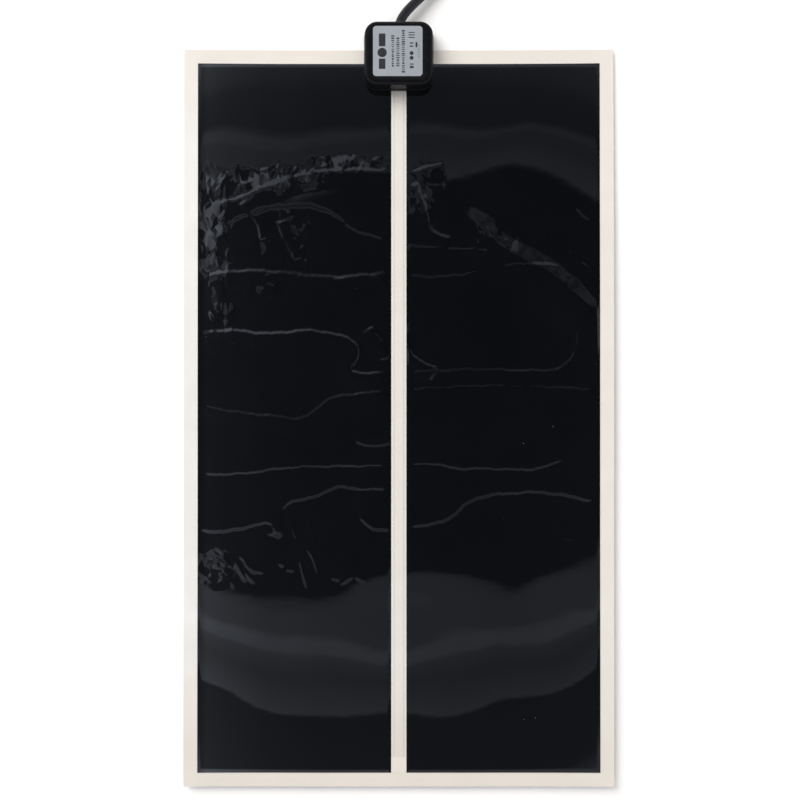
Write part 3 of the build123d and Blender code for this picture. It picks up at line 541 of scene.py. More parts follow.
BROWN = surface("brown_core_finish", (0.15, 0.06, 0.03), (0.20, 0.09, 0.045), 300, 0.4, 1500, 0.006)
BLUE = surface("blue_core_finish", (0.04, 0.14, 0.42), (0.06, 0.18, 0.50), 300, 0.4, 1500, 0.006)
SLEEVE = surface("sleeve_finish", (0.66, 0.62, 0.50), (0.76, 0.72, 0.60), 200, 0.45, 1500, 0.006)
TIN = surface("cutoff_case_finish", (0.60, 0.60, 0.62), (0.74, 0.74, 0.76), 300, 0.25, 1500, 0.004, 1.0)

# The hidden pieces that keep their CAD shape.
for kept_material, kept_nodes in (
    (BRASS, ("terminal_eyelets", "terminal_tags", "crimp_splice")),
    (FOAM, ("box_adhesive_pad",)),
    (RUBBER, ("cover_seal",)),
    (STEEL, ("cover_screws", "clamp_screws")),
    (BOX_PLASTIC, ("cord_clamp",)),
    (TIN, ("thermal_cutoff",)),
    (SLEEVE, ("cutoff_sleeve",)),
):
    for kept_node in kept_nodes:
        kept_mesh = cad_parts[kept_node].data
        kept_mesh.materials.clear()
        kept_mesh.materials.append(kept_material)

# ---------------------------------------------------------------- how the mat lies

HELD_DISTANCE = 70.0
EDGE_LIFT_LEFT, EDGE_LIFT_RIGHT = 3.6, 4.6
EDGE_LIFT_START = 66.0
EDGE_LIFT_FALL = 0.75  # the share of the edges' lift that is gone at the mat's ends
BOTTOM_SLOPE = 0.028
BOTTOM_RISE_START, BOTTOM_RISE_END = -40.0, -130.0
BOTTOM_FALL = 0.15  # the share of the lower end's rise that is gone at its corners
CORNER_LIFT, CORNER_X, CORNER_Y, CORNER_REACH = 0.5, 50.0, 150.0, 90.0
WAVES = (
    # height, length along x, length along y, phase
    (0.06, 118.0, -430.0, 0.6),
    (0.03, 96.0, 172.0, 2.1),
    (0.012, -64.0, 121.0, 4.0),
)
# Slight cross bends near the lower end: where along x, how wide, and the slope along y that each adds.
BENDS = ((-86.0, 24.0, -0.001), (2.0, 38.0, 0.013), (93.0, 16.0, 0.0045), (128.0, 10.0, -0.0045))
BENDS_Y, BENDS_REACH = -115.0, 30.0


def held_flat(x, y):
    """0 where the terminal box holds the mat flat, rising to 1 away from it."""
    aside = np.maximum(np.abs(x - BOX_X) - (base_high.x - BOX_X), 0)
    below = np.maximum(base_low.y - y, 0)
    return ease(np.hypot(aside, below) / HELD_DISTANCE)


def lift(x, y):
    """How far the relaxed laminate stands off the floor, in millimetres."""
    reach = film_high.x - EDGE_LIFT_START
    side_lift = np.where(x > 0, EDGE_LIFT_RIGHT, EDGE_LIFT_LEFT)
    along = 1 - EDGE_LIFT_FALL * (y / film_high.y) ** 2
    sides = side_lift * along * (np.maximum(np.abs(x) - EDGE_LIFT_START, 0) / reach) ** 2
    run = BOTTOM_RISE_START - BOTTOM_RISE_END
    past = np.clip(BOTTOM_RISE_START - y, 0, run)
    bottom = BOTTOM_SLOPE * (past**2 / (2 * run) + np.maximum(BOTTOM_RISE_END - y, 0))
    bottom *= 1 - BOTTOM_FALL * (x / film_high.x) ** 2
    corners = ease((np.abs(x) - CORNER_X) / CORNER_REACH) * ease((y - CORNER_Y) / CORNER_REACH)
    ripples = sum(
        height * (1 + np.sin(2 * math.pi * (x / length_x + y / length_y) + phase))
        for height, length_x, length_y, phase in WAVES
    )
    from_bends = (y - BENDS_Y) * np.exp(-(((y - BENDS_Y) / BENDS_REACH) ** 2))
    bends = sum(slope * np.exp(-(((x - at) / wide) ** 2)) for at, wide, slope in BENDS) * from_bends
    return (sides + bottom + CORNER_LIFT * corners + ripples + bends) * held_flat(x, y)


# ---------------------------------------------------------------- creases in the cover film

# Each long crease: the points that it passes, its height and its half width, in millimetres.
LONG_CREASES = (
    (((-130, 139), (-114, 141), (-91, 150), (-64, 159), (-42, 162), (-6, 162)), 0.26, 1.7),
    (((-130, 92), (-114, 95), (-95, 96), (-67, 94), (-42, 92), (-6, 95)), 0.26, 1.6),
    (
        ((-130, 55), (-114, 57), (-83, 55), (-61, 57), (-40, 54), (-27, 47))
        + ((-27, 39), (-31, 32), (-23, 29), (-6, 30)),
        0.44,
        1.9,
    ),
    (((-130, 8), (-105, 3.5), (-77, 0.4), (-61, 0.6), (-49, 10), (-33, 15), (-6, 17.5)), 0.36, 1.9),
    (((-130, -37), (-107, -37), (-73, -33), (-41, -32), (-6, -31.5)), 0.115, 1.5),
    (((-130, -74), (-117, -74.5), (-100, -72), (-83, -71), (-79, -80)), 0.09, 1.9),
    (((-79, -80), (-72, -56), (-58, -53), (-41, -46), (-26, -47), (-6, -47)), 0.13, 1.9),
    (((-26, -48), (-26, -64), (-19, -72), (-6, -74)), 0.14, 2.0),
    (((-105, 139), (-95, 130), (-90, 115)), 0.34, 1.5),
    (((-80, 128), (-74, 114), (-68, 102)), 0.32, 1.5),
    (((-130, 116), (-103, 131), (-72, 138), (-45, 134), (-28, 122), (-6, 116)), 0.115, 2.6),
    (((-18, 60), (-10, 48), (-6, 38)), 0.32, 1.7),
    (((5, 93), (25, 92), (49, 95), (72, 99.5), (91, 100.5), (107, 99)), 0.145, 1.5),
    (((5, 112.5), (29, 111), (60, 109.5)), 0.13, 1.8),
    (((5, 30), (29, 30.7), (49, 31.5), (91, 30.7), (109, 35), (115, 46), (118, 61)), 0.30, 1.5),
    (((5, 18.4), (49, 20.7), (79, 20.7), (129, 18.4)), 0.28, 1.4),
    (((7, 62), (7, 46), (14, 37), (27, 32)), 0.44, 1.8),
    (((12, 155), (18, 136), (24, 121), (35, 117)), 0.30, 1.6),
    (((8, 160), (17, 164), (29, 166)), 0.20, 1.6),
    (((5, -31), (23, -30.5), (35, -33), (57, -33.5), (99, -31), (111, -24.5)), 0.11, 1.5),
    (((5, -72), (31, -67), (47, -55), (70, -50), (92, -49), (129, -55)), 0.115, 1.9),
)

# Small rings pressed into the film: the centre, the half axes and the height.
RING_CREASES = (((-16, -15), (12, 3.8), 0.19),)

# Groups of short crinkles: centre, half extents, count, heading in degrees, spread, length, height.
CRINKLE_GROUPS = (
    ((-119, 122), (9, 34), 14, 84, 26, 22, 0.26),
    ((-84, 157), (34, 7), 16, 35, 60, 11, 0.24),
    ((-30, 166), (22, 4), 9, 15, 50, 12, 0.22),
    ((-117, 74), (8, 16), 8, 95, 35, 12, 0.28),
    ((-74, 88), (14, 5), 6, 20, 70, 9, 0.20),
    ((-34, 86), (22, 4), 7, -15, 30, 13, 0.20),
    ((-110, 42), (16, 9), 7, -40, 60, 9, 0.18),
    ((-72, 117), (16, 20), 7, -62, 16, 20, 0.12),
    ((-112, -96), (18, 14), 9, -52, 14, 18, 0.16),
    ((-84, -102), (14, 8), 4, -35, 40, 10, 0.14),
    ((-66, -90), (10, 18), 4, -72, 8, 26, 0.13),
    ((-32, -103), (12, 4), 4, 10, 50, 9, 0.12),
    ((20, 150), (10, 16), 7, -65, 30, 14, 0.16),
    ((62, 118), (12, 10), 6, -45, 40, 12, 0.14),
    ((86, -62), (34, 24), 12, -58, 34, 20, 0.07),
    ((104, 112), (20, 20), 8, -60, 25, 16, 0.12),
    ((112, 32), (12, 14), 6, 60, 30, 12, 0.12),
    ((70, -10), (40, 24), 8, -20, 60, 18, 0.05),
)

CREASE_SCALE = 0.98  # from a crease's listed height to the height that it is built with
CREASE_WIDTH_SCALE = 0.58  # the same for its half width
CREASE_SKIRT = 12.0  # how far the raised side takes to die away
CREASE_FADE = 0.06  # the share of its length over which a crease fades in and out
CREASE_WANDER = 0.6
CRINKLE_FADE = 0.4
RING_HALF_WIDTH = 1.5

# A wide flat fold that runs down to the right panel's outer edge.
FOLD_PATH = ((48, 144), (56, 129), (66, 118), (85, 107), (111, 90), (131, 69))
FOLD_HALF_WIDTH = 4.2
FOLD_HEIGHT = 0.68
FOLD_FADE = 30.0
FOLD_START_SHARE = 0.3


def close_to(x, y, curve, reach):
    """Which places lie within reach of a curve's bounding box."""
    low, high = curve.min(axis=0) - reach, curve.max(axis=0) + reach
    return (x > low[0]) & (x < high[0]) & (y > low[1]) & (y < high[1])


def beside(x, y, curve):
    """For each place: how far it lies to the left of a curve, and the share of the way along it."""
    place = np.column_stack((x, y))
    index = np.linalg.norm(place[:, None, :] - curve[None, :, :], axis=2).argmin(axis=1)
    steps = np.gradient(curve, axis=0)[index]
    length = np.linalg.norm(steps, axis=1)
    heading = steps / length[:, None]
    offset = place - curve[index]
    across = heading[:, 0] * offset[:, 1] - heading[:, 1] * offset[:, 0]
    along = (heading * offset).sum(axis=1) / length
    return across, (index + along) / (len(curve) - 1)


def add_crease(height, x, y, curve, rise, half_width, draws):
    """Adds one long crease, in place: a narrow tilted ribbon that is higher on the side of the mat's centre
    and dies away gently on that side. Its height wanders a little along its length."""
    half_width = half_width * CREASE_WIDTH_SCALE
    near = close_to(x, y, curve, half_width + CREASE_SKIRT)
    across, share = beside(x[near], y[near], curve)
    middle = curve[len(curve) // 2]
    heading = curve[-1] - curve[0]
    centre_side = np.sign(heading[0] * -middle[1] - heading[1] * -middle[0])
    across *= centre_side
    length = len(curve)
    uneven = 0.9 + 0.1 * np.sin(share * length / draws.uniform(7, 13) + draws.uniform(0, 6))
    ribbon = ease((across + half_width) / (2 * half_width))
    skirt = 1 - ease((across - half_width) / CREASE_SKIRT)
    ends = ease(share / CREASE_FADE) * ease((1 - share) / CREASE_FADE)
    height[near] += rise * uneven * ribbon * skirt * ends


def add_ridge(height, x, y, curve, ridge_height, half_width):
    """Adds one short crinkle, a low rounded ridge, in place."""
    near = close_to(x, y, curve, 3.2 * half_width)
    if near.any():
        across, share = beside(x[near], y[near], curve)
        ends = ease(share / CRINKLE_FADE) * ease((1 - share) / CRINKLE_FADE)
        height[near] += ridge_height * ends * np.exp(-((across / half_width) ** 2))


def wandering(curve, draws, amount):
    """A curve with a small irregular sideways wander."""
    along = np.arange(len(curve))
    wander = np.zeros(len(curve))
    for period, share in ((23, 0.5), (11, 0.3), (5, 0.2)):
        wander += share * np.sin(along / period * 2 * math.pi + draws.uniform(0, 2 * math.pi))
    heading = np.gradient(curve, axis=0)
    heading /= np.linalg.norm(heading, axis=1)[:, None]
    sideways = np.column_stack((-heading[:, 1], heading[:, 0]))
    return curve + amount * wander[:, None] * sideways


def over_panels(x, y):
    """1 over the two dark panels, fading to 0 at their edges."""
    outer = np.minimum(np.abs(x) - right_panel_low.x, right_panel_high.x - np.abs(x))
    inside = np.minimum(outer, panel_high.y - np.abs(y))
    return ease(inside / 2.0)


def crease_height(x, y):
    """How far creases raise the cover film's upper face."""
    draws = random.Random(11)
    height = np.zeros(len(x))
    for points, ridge_height, half_width in LONG_CREASES:
        curve = wandering(smooth_curve(points), draws, CREASE_WANDER)
        add_crease(height, x, y, curve, CREASE_SCALE * ridge_height, half_width, draws)
    for (centre_x, centre_y), (half_x, half_y), ridge_height in RING_CREASES:
        turn = np.linspace(0, 2 * math.pi, 60)
        curve = np.column_stack((centre_x + half_x * np.cos(turn), centre_y + half_y * np.sin(turn)))
        add_crease(height, x, y, curve, CREASE_SCALE * ridge_height, RING_HALF_WIDTH, draws)
    for centre, extents, count, heading, spread, length, ridge_height in CRINKLE_GROUPS:
        for _ in range(count):
            start_x = centre[0] + draws.uniform(-1, 1) * extents[0]
            start_y = centre[1] + draws.uniform(-1, 1) * extents[1]
            angle = math.radians(heading + draws.uniform(-spread, spread))
            reach = length * draws.uniform(0.5, 1.3) / 2
            bow = draws.uniform(-0.25, 0.25) * reach
            middle = np.array((start_x, start_y))
            ahead = np.array((math.cos(angle), math.sin(angle)))
            bowed = middle + bow * np.array((-ahead[1], ahead[0]))
            curve = smooth_curve((middle - reach * ahead, bowed, middle + reach * ahead))
            size = ridge_height * draws.uniform(0.4, 0.8)
            add_ridge(height, x, y, curve, size, draws.uniform(0.7, 1.0))
    curve = smooth_curve(FOLD_PATH)
    near = close_to(x, y, curve, FOLD_HALF_WIDTH + FOLD_FADE)
    across, share = beside(x[near], y[near], curve)
    rise = np.clip((-across + FOLD_HALF_WIDTH) / (2 * FOLD_HALF_WIDTH), 0, 1)
    fall = 1 - ease((-across - FOLD_HALF_WIDTH) / FOLD_FADE)
    height[near] += FOLD_HEIGHT * rise * fall * ease(share / FOLD_START_SHARE)
    return height * over_panels(x, y)


# ---------------------------------------------------------------- the mat's layers


def grid_lines(low, high, step, multiple=1):
    """Evenly spaced positions from low to high, about step apart, in a count divisible by multiple."""
    count = max(1, round((high - low) / (step * multiple))) * multiple
    return np.linspace(low, high, count + 1)


def sheet(x_range, y_range, bottom, top, step=4.0, coarse=1):
    """A thin closed sheet. bottom and top give heights; the underside's grid is coarse times coarser."""
    lines_x = grid_lines(*x_range, step, coarse)
    lines_y = grid_lines(*y_range, step, coarse)
    grid_x, grid_y = np.meshgrid(lines_x, lines_y)
    flat_x, flat_y = grid_x.ravel(), grid_y.ravel()
    upper = np.column_stack((flat_x, flat_y, top(flat_x, flat_y)))
    under_x, under_y = np.meshgrid(lines_x[::coarse], lines_y[::coarse])
    under_x, under_y = under_x.ravel(), under_y.ravel()
    lower = np.column_stack((under_x, under_y, bottom(under_x, under_y)))
    top_ids = np.arange(len(upper)).reshape(grid_x.shape)
    low_ids = len(upper) + np.arange(len(lower)).reshape(len(lines_y[::coarse]), -1)

    def quads(ids):
        corners = ids[:-1, :-1], ids[:-1, 1:], ids[1:, 1:], ids[1:, :-1]
        return np.stack(corners, axis=-1).reshape(-1, 4)

    faces = [tuple(quad) for quad in quads(top_ids).tolist()]
    top_count = len(faces)
    faces += [(a, d, c, b) for a, b, c, d in quads(low_ids).tolist()]
    edges = (
        (low_ids[0], top_ids[0], 1),
        (low_ids[-1], top_ids[-1], -1),
        (low_ids[:, 0], top_ids[:, 0], -1),
        (low_ids[:, -1], top_ids[:, -1], 1),
    )
    for below, above, turn in edges:
        below, above = below.tolist(), above.tolist()
        for i in range(len(below) - 1):
            rim = above[i * coarse : (i + 1) * coarse + 1]
            wall = (below[i], below[i + 1], *reversed(rim))
            faces.append(wall[::turn])
    return np.concatenate((upper, lower)), faces, top_count


def layer(name, node_low, node_high, material, slot, replaces, z_range=None, step=4.0, body="mat"):
    """One flat layer of the mat, following the way it lies."""
    bottom_z, top_z = z_range or (node_low.z, node_high.z)
    points, faces, _ = sheet(
        (node_low.x, node_high.x),
        (node_low.y, node_high.y),
        lambda x, y: lift(x, y) + bottom_z,
        lambda x, y: lift(x, y) + top_z,
        step,
    )
    return make_piece(name, (points, faces), material, body, slot, replaces)


LAYER_GAP = 0.01
FOIL_TOP = film_high.z + 0.05
ABOVE_FOIL = film_high.z + 0.06 + LAYER_GAP
UNDER_FILM_RISE, EDGE_DROP = 0.15, 0.10  # of the cover film over the panels, and beside them


def build_mat():
    layer("white_back_film", film_low, film_high, WHITE_FILM, "white_film", ["back_film"])
    for side in ("left", "right"):
        node = f"heating_panel_{side}"
        low, high = box_mm(node)
        z_range = (ABOVE_FOIL, high.z)
        layer(f"carbon_panel_{side}", low, high, CARBON, "carbon_film", [node], z_range)
    for node in ("bus_bar_top", "bus_bar_bottom", "return_strip"):
        low, high = box_mm(node)
        z_range = (film_high.z + LAYER_GAP, FOIL_TOP)
        layer(f"{node}_foil", low, high, COPPER, "copper_foil", [node], z_range)
    for node, material in (("centre_tape", WHITE_TAPE), ("joint_patch", WHITE_FILM)):
        low, high = box_mm(node)
        z_range = (ABOVE_FOIL, high.z - LAYER_GAP)
        layer(f"{node}_strip", low, high, material, "white_tape", [node], z_range, step=2.0)
    build_cover_film()


def build_cover_film():
    """The clear film over everything, finely divided so that its creases are real shape."""

    def bottom(x, y):
        return lift(x, y) + film_high.z + LAYER_GAP + UNDER_FILM_RISE * over_panels(x, y)

    def top(x, y):
        level = top_film_high.z - EDGE_DROP * (1 - over_panels(x, y))
        return lift(x, y) + level + crease_height(x, y)

    x_range, y_range = (film_low.x, film_high.x), (film_low.y, film_high.y)
    points, faces, top_count = sheet(x_range, y_range, bottom, top, step=0.85, coarse=4)
    film = make_piece("clear_cover_film", (points, faces), CLEAR_FILM, "mat", "clear_film", ["top_film"])
    film.data.materials.append(FILM_BOND)
    indices = np.ones(len(faces), np.int32)
    indices[:top_count] = 0
    film.data.polygons.foreach_set("material_index", indices)


build_mat()

# ---------------------------------------------------------------- terminal box

CORNER_R = 8.5
DRAFT = math.tan(math.radians(2.3))
TOP_EDGE_R = 2.2
FILLET_STEPS = 8
PARTING_CHAMFER = 0.25
LABEL_R = 2.2
LABEL_RECESS = 0.3
CORNER_STEPS = 12
HEEL_GAP = 0.3  # from the mat's edge to the heel
FILM_GAP = 0.4  # from the film to the base's underside


def box_loop(inset, z, size, side_y=None):
    """A shell's rounded outline at height z, inset from its widest size. side_y adds a point on each side."""
    inner = size[0] - 2 * inset, size[1] - 2 * inset
    loop = rounded_rectangle((BOX_X, BOX_Y), *inner, CORNER_R - inset, CORNER_STEPS)
    if side_y is not None:
        half = len(loop) // 2
        on_left, on_right = (loop[:, 0].min(), side_y), (loop[:, 0].max(), side_y)
        loop = np.concatenate((loop[:half], [on_left], loop[half:], [on_right]))
    return at_height(loop, z)


def build_box_cover():
    """The upper shell: a chamfer at the parting line, drafted walls, a round top edge, the label's recess."""
    bottom_z, top_z = cover_low.z, cover_high.z
    wall_height = top_z - TOP_EDGE_R - bottom_z
    rings = [
        box_loop(inset, bottom_z + rise * PARTING_CHAMFER, COVER_SIZE)
        for inset, rise in ((PARTING_CHAMFER, 0.0), (0.06, 0.6), (0.02, 1.2))
    ]
    for rise in (0.35 * wall_height, 0.7 * wall_height):
        rings.append(box_loop(DRAFT * rise, bottom_z + rise, COVER_SIZE))
    for step in range(FILLET_STEPS + 1):
        angle = math.radians(90 * step / FILLET_STEPS)
        inset = DRAFT * wall_height + TOP_EDGE_R * (1 - math.cos(angle))
        z = bottom_z + wall_height + TOP_EDGE_R * math.sin(angle)
        rings.append(box_loop(inset, z, COVER_SIZE))
    for gap, depth in ((0.6, 0.0), (0.4, 0.06), (0.3, 0.2), (0.3, LABEL_RECESS)):
        size = LABEL_WIDTH + 2 * gap, LABEL_LENGTH + 2 * gap
        rings.append(rectangle_ring(LABEL_CENTRE, *size, LABEL_R + gap, top_z - depth))
    make_piece("box_cover_shell", loft(rings), BOX_PLASTIC, "mat", "box_plastic", ["box_cover"])


def build_box_base():
    """The lower shell. Its heel, beyond the mat's edge, reaches the floor."""
    step_y = film_high.y + HEEL_GAP
    underside = top_film_high.z + FILM_GAP
    rings = [
        box_loop(inset, cover_low.z - drop, BASE_SIZE, step_y)
        for inset, drop in (
            (DRAFT * (cover_low.z - underside), cover_low.z - underside),
            (DRAFT * 2.5, 2.5),
            (0.02, PARTING_CHAMFER),
            (PARTING_CHAMFER, 0.0),
        )
    ]
    points, faces = loft(rings)
    # The lowest ring's flat cap gives way to the heel on the far side and a smaller cap on the near side.
    faces = [face for face in faces if len(face) == 4 or min(face) > 0]
    on_left, on_right = 2 * (CORNER_STEPS + 1), len(rings[0]) - 1
    far = [on_right, *range(on_left + 1)]
    heel = box_loop(DRAFT * cover_low.z, base_low.z, BASE_SIZE, step_y)[far]
    heel_ids = list(range(len(points), len(points) + len(far)))
    around = list(zip(far, heel_ids))
    faces += [(a, b, d, c) for (a, c), (b, d) in zip(around, around[1:] + around[:1])]
    faces.append(tuple(heel_ids))
    faces.append(tuple(range(on_right, on_left - 1, -1)))
    shell = np.concatenate((points, heel)), faces
    make_piece("box_base_shell", shell, BOX_PLASTIC, "mat", "box_plastic", ["box_base"])


def flat_bar(centre, width, length, bottom_z, top_z, radius=0.2):
    """A thin bar of print or film, with rounded corners."""
    radius = min(radius, width / 2.01, length / 2.01)
    return loft([rectangle_ring(centre, width, length, radius, z, 4) for z in (bottom_z, top_z)])


def flat_disc(centre, radius, bottom_z, top_z):
    return loft([rectangle_ring(centre, 2 * radius, 2 * radius, radius, z, 8) for z in (bottom_z, top_z)])


def build_label():
    """A silver label with generic bars and dashes instead of lettering."""
    rings = []
    for inset, z in ((0, label_low.z), (0, label_high.z - 0.05), (0.05, label_high.z)):
        size = LABEL_WIDTH - 2 * inset, LABEL_LENGTH - 2 * inset
        rings.append(rectangle_ring(LABEL_CENTRE, *size, LABEL_R - inset, z))
    make_piece("label_plate", loft(rings), LABEL_FILM, "mat", "label_film", ["rating_label"])

    ink = label_high.z - 0.02, label_high.z + 0.015
    shells = []

    def bar(x, y, width, length):
        shells.append(flat_bar(LABEL_CENTRE + (x, y), width, length, *ink))

    def disc(x, y, radius):
        shells.append(flat_disc(LABEL_CENTRE + (x, y), radius, *ink))

    bar(-10.0, 7.1, 4.2, 8.2)
    bar(-10.0, -8.2, 4.2, 6.6)
    disc(-10.0, -1.0, 3.0)
    draws = random.Random(5)
    # Columns of dashes: where along x, how wide, and where they start and end.
    for column, stroke, top_y, bottom_y in (
        (-3.2, 2.1, 10.0, -10.0),
        (0.1, 2.1, 8.6, -9.8),
        (3.6, 2.2, 13.4, -13.4),
        (13.6, 0.5, 4.0, -4.0),
    ):
        y = top_y
        while y > bottom_y:
            dash = draws.uniform(0.3, 1.1)
            bar(column, y - dash / 2, stroke * draws.choice((0.6, 0.9, 1.0)), dash)
            y -= dash + draws.uniform(0.5, 0.8)
    for y in (8.7, 10.3, 11.9):
        bar(8.9, y, 4.0, 0.6)
    for y in (3.1, 5.1):
        bar(8.8, y, 2.4, 0.8)
    for y in (-1.4, -4.4):
        disc(8.9, y, 1.25)
    bar(9.0, -8.4, 2.4, 0.7)
    bar(9.0, -10.3, 2.4, 1.4)
    bar(12.0, 4.0, 1.2, 3.3)
    make_piece("label_print", joined(shells), LABEL_INK, "mat", "label_film")


def build_grommet():
    """The soft bush round the cord; its lip stands a little out of the wall."""
    origin = ((grommet_low.x + grommet_high.x) / 2, 0, (grommet_low.z + grommet_high.z) / 2)
    bore, shoulder, neck, lip = CORD_R + 0.05, 4.8, 4.0, 3.9
    shoulder_y, wall_y = grommet_low.y + 1.4, cover_high.y
    profile = (
        (grommet_low.y, bore),
        (grommet_low.y, shoulder),
        (shoulder_y, shoulder),
        (shoulder_y, neck),
        (wall_y, neck),
        (wall_y + 0.35, lip),
        (grommet_high.y - 0.12, lip - 0.08),
        (grommet_high.y, lip - 0.3),
        (grommet_high.y, bore),
    )
    shell = revolved(profile, origin, "y", ring_shaped=True)
    make_piece("grommet_bush", shell, RUBBER, "mat", "soft_rubber", ["cord_grommet"])


# ---------------------------------------------------------------- cord

CORD_R = 3.0
CORE_R = 1.15
CORE_OFFSET = 1.2
STRAIGHT_END_Y = 253.6
EXIT_BEND_R = 9.0
EXIT_BEND = math.radians(27)
COIL_OUTER_R = 70.0
COIL_PITCH = 7.0
COIL_HALF_TURNS = 7
COIL_LAST_R_STEP = 1.0
DESCENT = ((10.2, 268.4, 6.9), (32.0, 286.5, 3.9))
CROSSING_CLIMB = ((14.0, 6.0), (28.0, 9.0), (56.0, 9.3))
SHEATH_IN_PLUG = 20.0
SEAM_X = 33.0
CORD_STEP, FINE_STEP = 2.0, 0.8
CORE_SIDES = 16
BROWN_ROUTE = ((-4.8, 240.3, 7.0), (-12.5, 240.4, 5.8), (-17.4, 237.2, 5.1))
BLUE_ROUTE = ((5.6, 237.5, 7.5), (5.8, 232.5, 7.1), (4.0, 229.2, 6.0), (0.0, 225.6, 4.2))

cord_x = (grommet_low.x + grommet_high.x) / 2
cord_z = (grommet_low.z + grommet_high.z) / 2
floor_z = sheath_low.z + CORD_R
coil_x = sheath_high.x - CORD_R - COIL_OUTER_R
coil_y = sheath_high.y - CORD_R - 2 * COIL_OUTER_R
plug_y = (pins_low.y + pins_high.y) / 2
plug_z = (pins_low.z + pins_high.z) / 2
mouth_x = plug_high.x


def flat_arc(start, heading, radius, turn, step=CORD_STEP):
    """Points of a level arc from start; a positive turn goes left. heading and turn are in radians."""
    side = math.copysign(1, turn)
    angles = heading + np.linspace(0, turn, max(2, math.ceil(abs(turn) * radius / step) + 1))
    centre_x = start[0] - side * radius * math.sin(heading)
    centre_y = start[1] + side * radius * math.cos(heading)
    x = centre_x + side * radius * np.sin(angles)
    y = centre_y - side * radius * np.cos(angles)
    return at_height(np.column_stack((x, y)), start[2])


def chained(parts):
    """Curves laid end to end, without doubling the points where they meet."""
    return np.concatenate([parts[0]] + [part[1:] for part in parts[1:]])


def cord_centreline():
    """The cord's axis from inside the box, down to the floor, round the coil and over it to the plug."""
    start = np.array((cord_x, sheath_low.y, cord_z))
    bend = np.array((cord_x, STRAIGHT_END_Y, cord_z))
    parts = [smooth_curve((start, bend), step=CORD_STEP)]
    parts.append(flat_arc(bend, math.pi / 2, EXIT_BEND_R, -EXIT_BEND, step=FINE_STEP))
    descent = (parts[-1][-1], *DESCENT, (coil_x, coil_y, floor_z))
    heading = (math.sin(EXIT_BEND), math.cos(EXIT_BEND), 0)
    parts.append(smooth_curve(descent, heading, (1, 0, 0), step=CORD_STEP))
    for half_turn in range(COIL_HALF_TURNS):
        radius = COIL_OUTER_R - half_turn * COIL_PITCH / 2
        if half_turn == COIL_HALF_TURNS - 1:
            radius -= COIL_LAST_R_STEP
        parts.append(flat_arc(parts[-1][-1], half_turn * math.pi, radius, math.pi))
    last = parts[-1][-1]
    climb = [last] + [(last[0] - run, last[1], height) for run, height in CROSSING_CLIMB]
    climb.append((mouth_x, plug_y, plug_z))
    parts.append(smooth_curve(climb, (-1, 0, 0), (-1, 0, 0), step=CORD_STEP))
    end = (mouth_x - SHEATH_IN_PLUG, plug_y, plug_z)
    parts.append(smooth_curve((parts[-1][-1], end), step=CORD_STEP))
    return chained(parts)


def build_cord():
    """Two lengths that meet on top of the coil: one runs from the box, the other to the plug."""
    path = cord_centreline()
    on_crossing = (path[:, 0] < SEAM_X) & (path[:, 2] > floor_z + 1) & (path[:, 1] > coil_y + COIL_OUTER_R)
    seam = int(np.argmax(on_crossing))
    for name, part, bodies, start, end in (
        (
            "cord_coil",
            path[: seam + 1],
            ("mat", "cord"),
            (cord_x, STRAIGHT_END_Y + 0.4, cord_z),
            (*DESCENT[-1][:2], cord_z),
        ),
        ("cord_to_plug", path[seam:], ("cord", "plug"), (10.0, plug_y, plug_z), (mouth_x, plug_y, plug_z)),
    ):
        length = make_piece(name, tube(part, CORD_R), CORD_PVC, None, "cord_pvc", ["cord_sheath"])
        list(bodies)
        np.array(start) * MM
        np.array(end) * MM
        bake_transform(length)


def build_cores():
    """The two cores' ends: in the box they reach the splice and the neutral tag, in the plug the pins."""
    splice_low, splice_high = box_mm("crimp_splice")
    splice = (splice_low.x, (splice_low.y + splice_high.y) / 2, (splice_low.z + splice_high.z) / 2)
    for name, material, slot, route, inwards, side, pin_y in (
        ("core_brown", BROWN, "brown_insulation", (*BROWN_ROUTE, splice), (1, 0, 0), -1, pins_low.y + PIN_R),
        ("core_blue", BLUE, "blue_insulation", BLUE_ROUTE, (0, -1, 0), 1, pins_high.y - PIN_R),
    ):
        from_cord = (cord_x + side * CORE_OFFSET, sheath_low.y + 1, cord_z)
        curve = smooth_curve((from_cord, *route), (0, -1, 0), inwards, step=FINE_STEP)
        make_piece(f"{name}_in_box", tube(curve, CORE_R, CORE_SIDES), material, "mat", slot, [name])
        from_sheath = (mouth_x - SHEATH_IN_PLUG + 2.0, plug_y + side * CORE_OFFSET, plug_z)
        to_pin = (mouth_x - GRIP_END, pin_y, plug_z)
        curve = smooth_curve((from_sheath, to_pin), (-1, 0, 0), (-1, 0, 0), step=FINE_STEP)
        make_piece(f"{name}_in_plug", tube(curve, CORE_R, CORE_SIDES), material, "plug", slot, [name])


# ---------------------------------------------------------------- plug

BOOT_LENGTH = 22.0
BOOT_MOUTH_R, BOOT_ROOT_R = 4.6, 6.2
BOOT_MOUTH = ((12.0, CORD_R + 0.05), (0.3, CORD_R + 0.05), (0.0, CORD_R + 0.35), (0.0, 4.2), (0.2, 4.5))
BOOT_SAMPLES, BOOT_START = 110, 0.6
RIB_SPACING, BOOT_RIBS = BOOT_LENGTH / 6, 5
RIB_GROOVE_DEPTH = 0.75
GRIP_END = 44.0
GRIP_STATIONS = (
    # distance, width, height, corner radius
    (BOOT_LENGTH + 0.01, 2 * BOOT_ROOT_R, 2 * BOOT_ROOT_R, BOOT_ROOT_R),
    (BOOT_LENGTH + 1.6, 15.4, 13.4, 6.5),
    (BOOT_LENGTH + 4.0, 17.0, 14.0, 6.8),
    (33.0, 19.6, 14.9, 7.2),
    (39.0, 24.0, 16.6, 8.0),
    (GRIP_END - 1.2, 29.0, 18.8, 8.8),
    (GRIP_END - 0.2, 31.0, 20.2, 8.9),
)
FLANGE_LENGTH = 14.0
